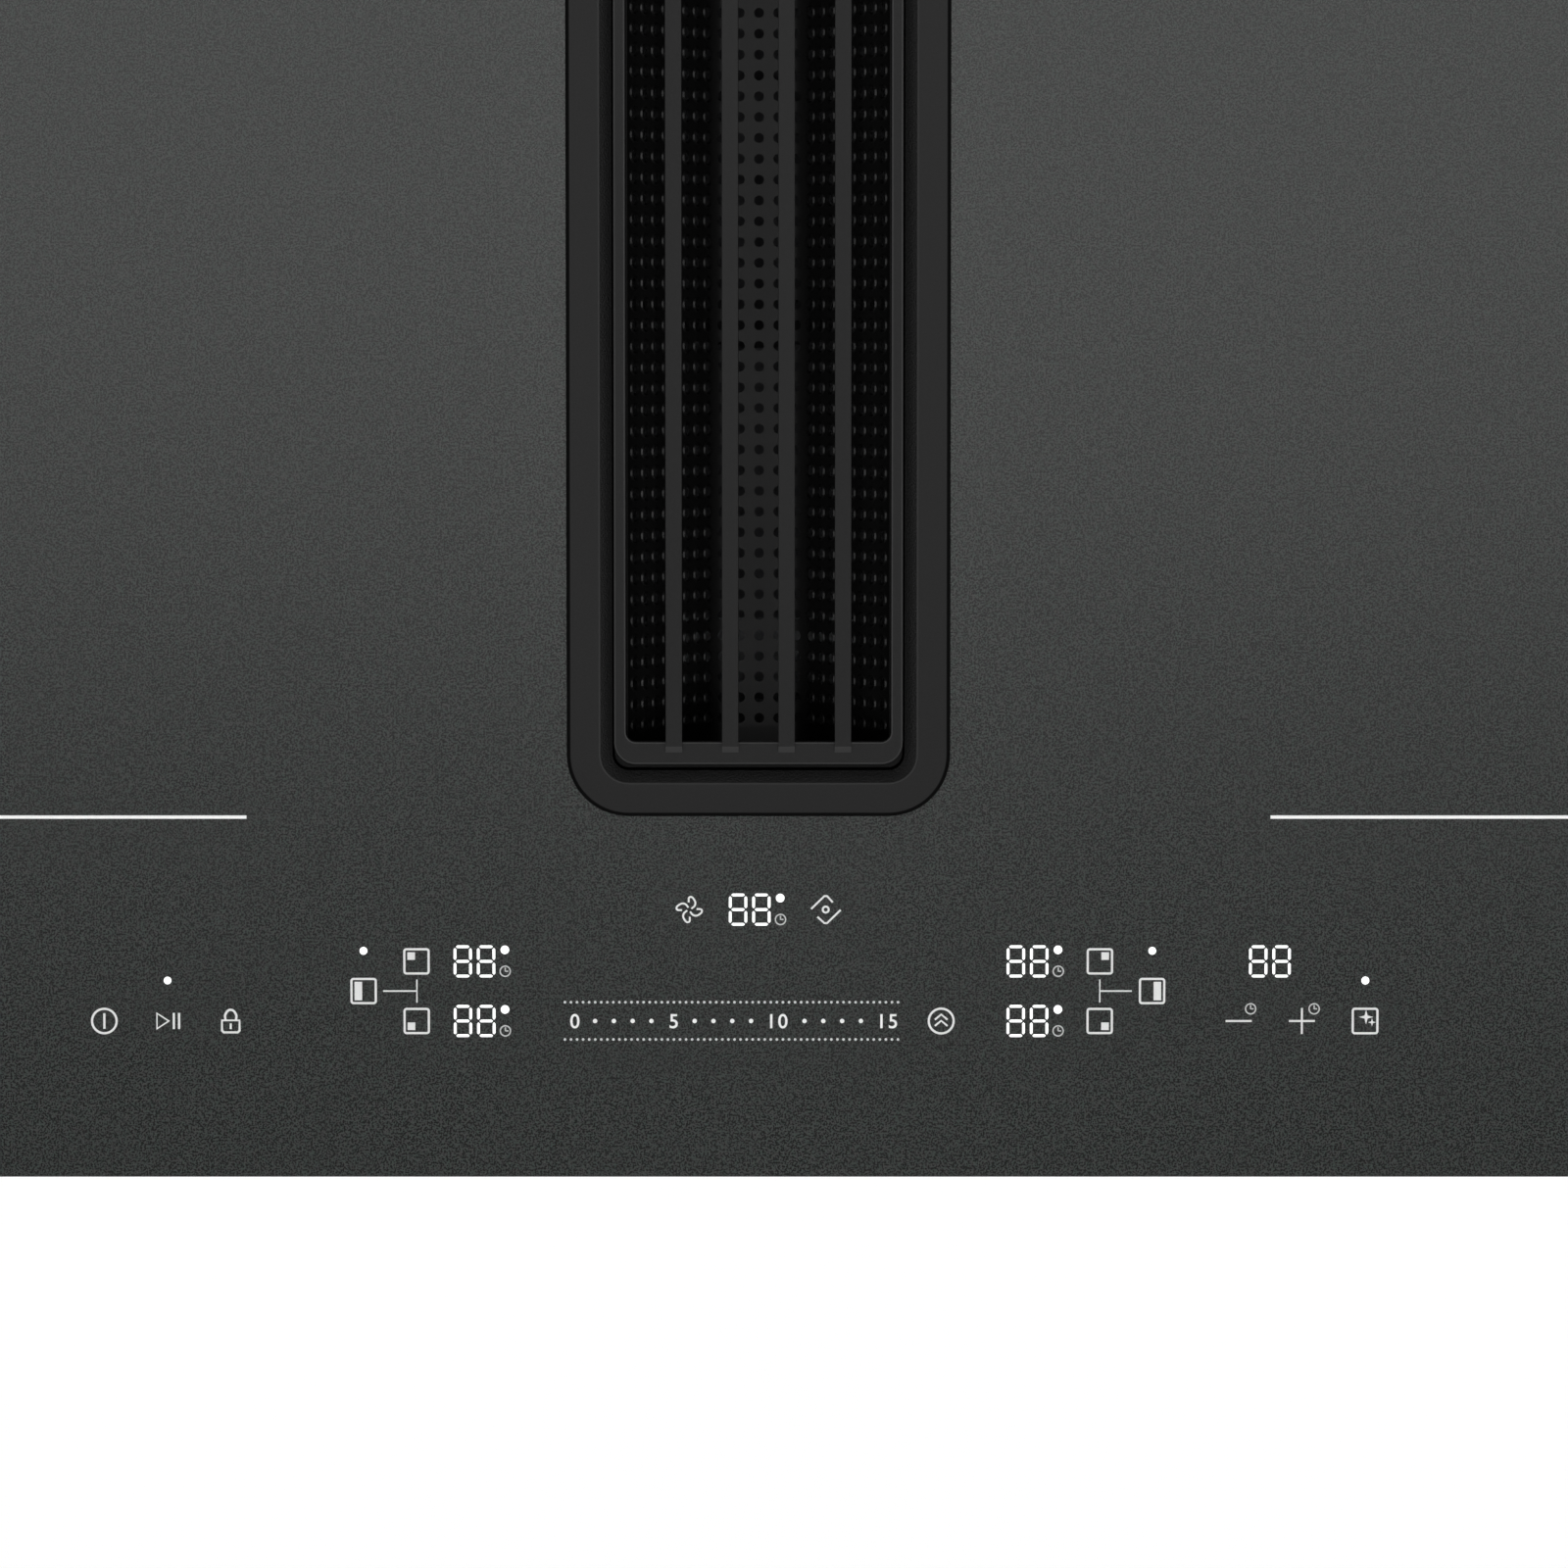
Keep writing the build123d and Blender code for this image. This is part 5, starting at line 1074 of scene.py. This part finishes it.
# %% Left group
ZONE_KEY = 8.0
KEY_CORNER = 0.95
ZONE_FILL = 2.3
FILL_SHIFT = 1.6
DOT_RISE = 12.3
POWER_X = -197.7
PLAY_X = -182.1
PAUSE_PLACES = (-176.7, -175.1)
LOCK_X = -159.5
LOCK_DROP = 1.6
LOCK_STROKE = 0.7
LOCK_BODY = [(-2.65, 1.8), (-2.65, -1.3), (-2.1, -1.85), (2.1, -1.85), (2.65, -1.3), (2.65, 1.8)]
LOCK_SHACKLE = [(-1.6, 0.3), (-1.6, 2.0), (0, 3.4), (1.6, 2.0), (1.6, 0.3)]


def zone_key(x, y, side, end):
    """A small square whose filled corner names one of the four zones."""
    ink_box("icon", x, y, ZONE_KEY, ZONE_KEY, KEY_CORNER, STROKE)
    ink_box("icon", x + side * FILL_SHIFT, y + end * FILL_SHIFT, ZONE_FILL, ZONE_FILL)


def bridge_key(x, side):
    """A square with one filled column: both zones of a side together."""
    ink_box("icon", x, LINK_ROW, ZONE_KEY, ZONE_KEY, KEY_CORNER, STROKE)
    ink_box("icon", x + side * FILL_SHIFT, LINK_ROW, ZONE_FILL, 5.6)
    ink_disc("lit", x, LINK_ROW + 12.2, 2.35)


def link_lines(column, side, reach):
    """The bracket between the two zone keys and the bridge key."""
    ink_box("icon", column, LINK_ROW, 0.38, 7.0)
    ink_box("icon", column + side * reach / 2, LINK_ROW, reach, 0.48)


ink_disc("icon", POWER_X, KEY_ROW, 8.1, STROKE)
ink_box("icon", POWER_X, KEY_ROW, STROKE, 4.7)
ink_stroke("icon", PLAY_X, KEY_ROW, [(0.3, -2.35), (0.3, 2.35), (3.9, 0)], 0.76, closed=True)
for x in PAUSE_PLACES:
    ink_box("icon", x, KEY_ROW, 0.66, 4.9)
ink_disc("lit", -178.5, KEY_ROW + DOT_RISE, 2.3)
ink_stroke("icon", LOCK_X, KEY_ROW - LOCK_DROP, LOCK_BODY, LOCK_STROKE, closed=True)
ink_stroke("icon", LOCK_X, KEY_ROW, LOCK_SHACKLE, LOCK_STROKE, curved=True)
ink_box("icon", LOCK_X, KEY_ROW - LOCK_DROP, 0.6, 1.7)
bridge_key(-119.3, -1)
link_lines(-103.2, -1, 10.2)
zone_key(-103.3, ZONE_ROW, -1, 1)
zone_key(-103.3, KEY_ROW, -1, -1)
print("left group", sum(len(marks) for marks in flats.values()))

# %% Right group
KEY_SIZE = 7.9
STARS = ((0.3, 1.2, 2.2), (2.1, -0.4, 1.25))
BOOST_X = 55.2
MINUS_X = 145.1
PLUS_X = 164.2
STAR_KEY_X = 183.3
THIN = 0.6
HALF_KEY = (KEY_SIZE - THIN) / 2


def star(ink, x, y, reach):
    """A four-pointed star: a disc of eight corners with every second one drawn in."""
    shape = ink_disc(ink, x, y, 2 * reach, corners=8)
    for vertex in shape.data.vertices:
        dx, dy = vertex.co.x - x * MM, vertex.co.y - y * MM
        if min(abs(dx), abs(dy)) > 0.2 * reach * MM:
            vertex.co.x, vertex.co.y = x * MM + 0.3 * dx, y * MM + 0.3 * dy


zone_key(103.1, ZONE_ROW, 1, 1)
zone_key(103.1, KEY_ROW, 1, -1)
link_lines(103.1, 1, 9.7)
bridge_key(118.9, 1)
ink_disc("icon", BOOST_X, KEY_ROW, 8.2, STROKE)
for rise in (-1.5, 0.4):
    ink_stroke("icon", BOOST_X, KEY_ROW + rise, [(-1.9, 0), (0, 1.6), (1.9, 0)], THIN)
for x in (MINUS_X, PLUS_X):
    ink_box("icon", x, KEY_ROW, KEY_SIZE, THIN)
for rise in (-1, 1):
    ink_box("icon", PLUS_X, KEY_ROW + rise * (HALF_KEY + THIN) / 2, THIN, HALF_KEY)
ink_box("icon", STAR_KEY_X, KEY_ROW, 8.1, 8.1, KEY_CORNER, STROKE)
for dx, dy, reach in STARS:
    star("icon", STAR_KEY_X + dx, KEY_ROW + dy, reach)
ink_disc("lit", STAR_KEY_X, KEY_ROW + DOT_RISE, 2.4)
print("right group", sum(len(marks) for marks in flats.values()))

# %% [markdown]
# ## Printed marks: middle, slider and zone lines
# Above the slider stand the fan key, four hooked blades round a middle, and the key for automatic
# running. The slider is two rows of fine ticks with plain numbers and dots between them.

# %% Middle keys and slider
FAN_BLADE = [(-0.2, 2.2), (0.2, 3.8), (1.6, 2.8), (1.75, 1.4), (0.65, 0.25)]
TICKS = 56
TICK_PITCH = 1.83
SLIDER_START = -58.5
SLIDER_NUMBERS = {"0": -55.5, "5": -25.6, "10": 5.6, "15": 38.9}
DOT_GROUPS = (-49.4, -19.3, 13.9)
NUMBER_SIZE = 6.1
NUMBER_WEIGHT = 0.06 * MM
FAN_KEY_X = -20.9
AUTO_KEY_X = 20.3
DOT_PITCH = 5.68


def print_text(ink, x, y, words, size):
    """Plain upright text, made a mesh before it is placed."""
    bpy.ops.object.text_add()
    text = bpy.context.object
    text.data.body = words
    text.data.size = size * MM
    text.data.space_character = 1.15
    text.data.offset = NUMBER_WEIGHT
    text.data.align_x = "CENTER"
    text.data.align_y = "CENTER"
    bpy.ops.object.convert(target="MESH")
    text = bpy.context.object
    text.location = (x * MM, y * MM, PRINT)
    flats[ink].append(settle("mark"))


for quarter in range(4):
    across, along = cos(quarter * pi / 2), sin(quarter * pi / 2)
    turned = [(px * across + py * along, py * across - px * along) for px, py in FAN_BLADE]
    ink_stroke("icon", FAN_KEY_X, TOP_ROW, turned, 0.56, curved=True)
for corner in (
    [(-4.4, 0.2), (-0.4, 4.1), (0.4, 4.1), (2.1, 2.2)],
    [(-2.5, -2.2), (-0.4, -4.1), (0.4, -4.1), (4.5, -0.1)],
):
    ink_stroke("icon", AUTO_KEY_X, TOP_ROW, corner, THIN)
ink_disc("icon", AUTO_KEY_X, TOP_ROW, 2.4, THIN)

for row_y in (KEY_ROW + 5.7, KEY_ROW - 5.6):
    tick = ink_disc("tick", SLIDER_START, row_y, 0.82, corners=12)
    repeat_along(tick, TICKS, (TICK_PITCH * MM, 0, 0))
for word, x in SLIDER_NUMBERS.items():
    print_text("number", x, KEY_ROW - 0.3, word, NUMBER_SIZE)
for start in DOT_GROUPS:
    for number in range(4):
        ink_disc("number", start + number * DOT_PITCH, KEY_ROW, 1.35, corners=20)
print("middle", sum(len(marks) for marks in flats.values()))

# %% Zone lines
FRONT_LINE_Y, REAR_LINE_Y = -150.7, 225.0
ZONE_LINE_INNER = 154.4
ZONE_LINE_OUTER = 319.0
line_middle = (ZONE_LINE_INNER + ZONE_LINE_OUTER) / 2
for y in (FRONT_LINE_Y, REAR_LINE_Y):
    for side in (-1, 1):
        ink_box("line", side * line_middle, y, ZONE_LINE_OUTER - ZONE_LINE_INNER, 1.0)
print("zone lines", len(flats["line"]))

# %% [markdown]
# ## Lit digits
# Each readout is two seven-segment digits. One segment is a bar with pointed ends, one digit is
# seven of them, and every readout is a copy of the same pair, with a dot and a small clock.

# %% Digits, dots and clocks
SEGMENT = 0.84
DIGIT_WIDTH = 4.7
DIGIT_HEIGHT = 8.9
DIGIT_PITCH = 7.05
READOUTS = {
    "left_rear": (-85.8, ZONE_ROW),
    "left_front": (-85.8, KEY_ROW),
    "fan": (-2.65, TOP_ROW),
    "right_rear": (81.25, ZONE_ROW),
    "right_front": (81.25, KEY_ROW),
    "timer": (154.45, ZONE_ROW),
}


def segment(x, y, length, standing):
    """One bar of a digit, a six-cornered disc drawn out to points."""
    bar = ink_disc("lit", 0, 0, 2, corners=6)
    for vertex in bar.data.vertices:
        side = 1 if vertex.co.y > 0 else -1
        tip = abs(vertex.co.x) < 0.1 * MM
        across = 0 if tip else (1 if vertex.co.x > 0 else -1)
        along = side * (length / 2 if tip else length / 2 - SEGMENT / 2) * MM
        wide = across * SEGMENT / 2 * MM
        vertex.co.x, vertex.co.y = (wide, along) if standing else (along, -wide)
        vertex.co.x += x * MM
        vertex.co.y += y * MM


def digit(x, y):
    """All seven segments of one digit."""
    half = DIGIT_HEIGHT / 4
    for rise in (-1, 0, 1):
        segment(x, y + rise * DIGIT_HEIGHT / 2, DIGIT_WIDTH - 0.6, False)
    for side in (-1, 1):
        for rise in (-1, 1):
            segment(x + side * DIGIT_WIDTH / 2, y + rise * half, DIGIT_HEIGHT / 2 - 0.75, True)


def clock(x, y):
    """A small ring with two hands."""
    ink_disc("clock", x, y, 3.5, 0.4, corners=24)
    ink_box("clock", x, y + 0.5, 0.4, 1.2)
    ink_box("clock", x + 0.45, y, 0.9, 0.4)


for name, (x, y) in READOUTS.items():
    for side in (-1, 1):
        digit(x + side * DIGIT_PITCH / 2, y)
    if name != "timer":
        ink_disc("lit", x + 9.2, y + 3.5, 2.6)
        clock(x + 9.3, y - 3.0)
clock(MINUS_X + 3.6, KEY_ROW + 3.7)
clock(PLUS_X + 3.7, KEY_ROW + 3.7)
print("lit marks", len(flats["lit"]), "clocks", len(flats["clock"]))

# %% Give the ink its thickness
for ink in INKS:
    film = weld("marks_" + ink, flats[ink])
    modify(film, "SOLIDIFY", thickness=INK, offset=1)
    if strokes[ink]:
        film = weld("marks_" + ink, [film] + strokes[ink])
    dress(film, "root", None, finish="ink_" + ink)

# %% [markdown]
# ## Everything below the glass
# The other parts come from the CAD model. Those that a look from the side or from below shows get
# a merged copy with broken edges, as bent sheet and moulded plastic have, and the rest keep their
# own mesh. Each takes the finish that its record names.

# %% Broken edges for the outer parts
BREAKS = {
    "base_pan": 0.3,
    "well_housing": 0.5,
    "blower_upper_shell": 0.5,
    "blower_lower_shell": 0.8,
    "outlet_spigot": 0.5,
    "drip_cup": 0.5,
    "fixing_brackets": 0.4,
    "cable_gland": 0.4,
    "terminal_cover": 0.4,
    "blower_motor": 0.4,
    "filter_frame": 0.3,
    "grille_pads": 0.3,
    "upper_flap": 0.3,
    "lower_flap": 0.3,
}
slot_of = {part["node"]: part["material_slot"] for part in frame["record"]["subparts"]}
body_of = {n: body for body, names in frame["record"]["behaviour"]["bodies"].items() for n in names}


def break_edges(name, width):
    """A merged copy of a CAD node with its sharp edges rounded a little."""
    piece = bpy.data.objects.new(name + "_dressed", nodes[name].data.copy())
    bpy.context.collection.objects.link(piece)
    select_only(piece)
    bpy.ops.mesh.customdata_custom_splitnormals_clear()
    pick(piece, "VERT")
    bpy.ops.mesh.remove_doubles(threshold=0.002 * MM)
    bpy.ops.mesh.dissolve_limited(angle_limit=radians(0.5))
    leave()
    sharp = radians(40)
    modify(piece, "BEVEL", width=width * MM, segments=2, limit_method="ANGLE", angle_limit=sharp)
    return dress(piece, body_of[name], slot_of[name], name)


# The filter frame's upward faces get this share of the painted shade.
SHADE_SHARE = 0.7
for name, width in BREAKS.items():
    piece = break_edges(name, width)
    if name == "filter_frame":
        mark_faces(piece, "painted_shade", lambda face: SHADE_SHARE * (face.normal.z > 0.5))

# %% Finishes on the CAD's own parts
for name, node in nodes.items():
    own = name + "_winding"
    node.data.materials.clear()
    node.data.materials.append(finishes[own if own in finishes else slot_of[name]])
print("finished nodes", len(nodes))

# %% [markdown]
# ## The floor
# A pale floor just under the blower. The camera sees it almost as white paper, but part of its
# brightness is real light, so the object's shadow stays. From below it is clear.

# %% Lay the floor
FLOOR_SHARE = 0.8
bpy.ops.mesh.primitive_plane_add(size=1, location=(0, 0, cad_low.z - 1 * MM))
floor = settle("floor", (14, 14, 1))
material, shader = new_finish("floor", 0.9, specular=0.2)
shader.inputs["Base Color"].default_value = (0.93, 0.93, 0.93, 1)
tree = material.node_tree
path = add_node(material, "ShaderNodeLightPath")
geometry = add_node(material, "ShaderNodeNewGeometry")
glow = add_node(material, "ShaderNodeEmission")
share = add_node(material, "ShaderNodeMath")
share.operation = "MULTIPLY"
share.inputs[1].default_value = FLOOR_SHARE
lit_floor = add_node(material, "ShaderNodeMixShader")
through = add_node(material, "ShaderNodeBsdfTransparent")
one_sided = add_node(material, "ShaderNodeMixShader")
tree.links.new(path.outputs["Is Camera Ray"], share.inputs[0])
tree.links.new(share.outputs[0], lit_floor.inputs[0])
tree.links.new(shader.outputs[0], lit_floor.inputs[1])
tree.links.new(glow.outputs[0], lit_floor.inputs[2])
tree.links.new(geometry.outputs["Backfacing"], one_sided.inputs[0])
tree.links.new(lit_floor.outputs[0], one_sided.inputs[1])
tree.links.new(through.outputs[0], one_sided.inputs[2])
tree.links.new(one_sided.outputs[0], tree.nodes["Material Output"].inputs["Surface"])
floor.data.materials.append(material)
floor.visible_shadow = False
floor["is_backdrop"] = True
print("floor at", round(cad_low.z - 1 * MM, 4))

# %% [markdown]
# ## The size
# The dressed model must fill the same box as the CAD model. Its box is measured here, as the
# CAD model's box was at the start.

# %% Measure the dressed model's box
low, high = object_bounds()
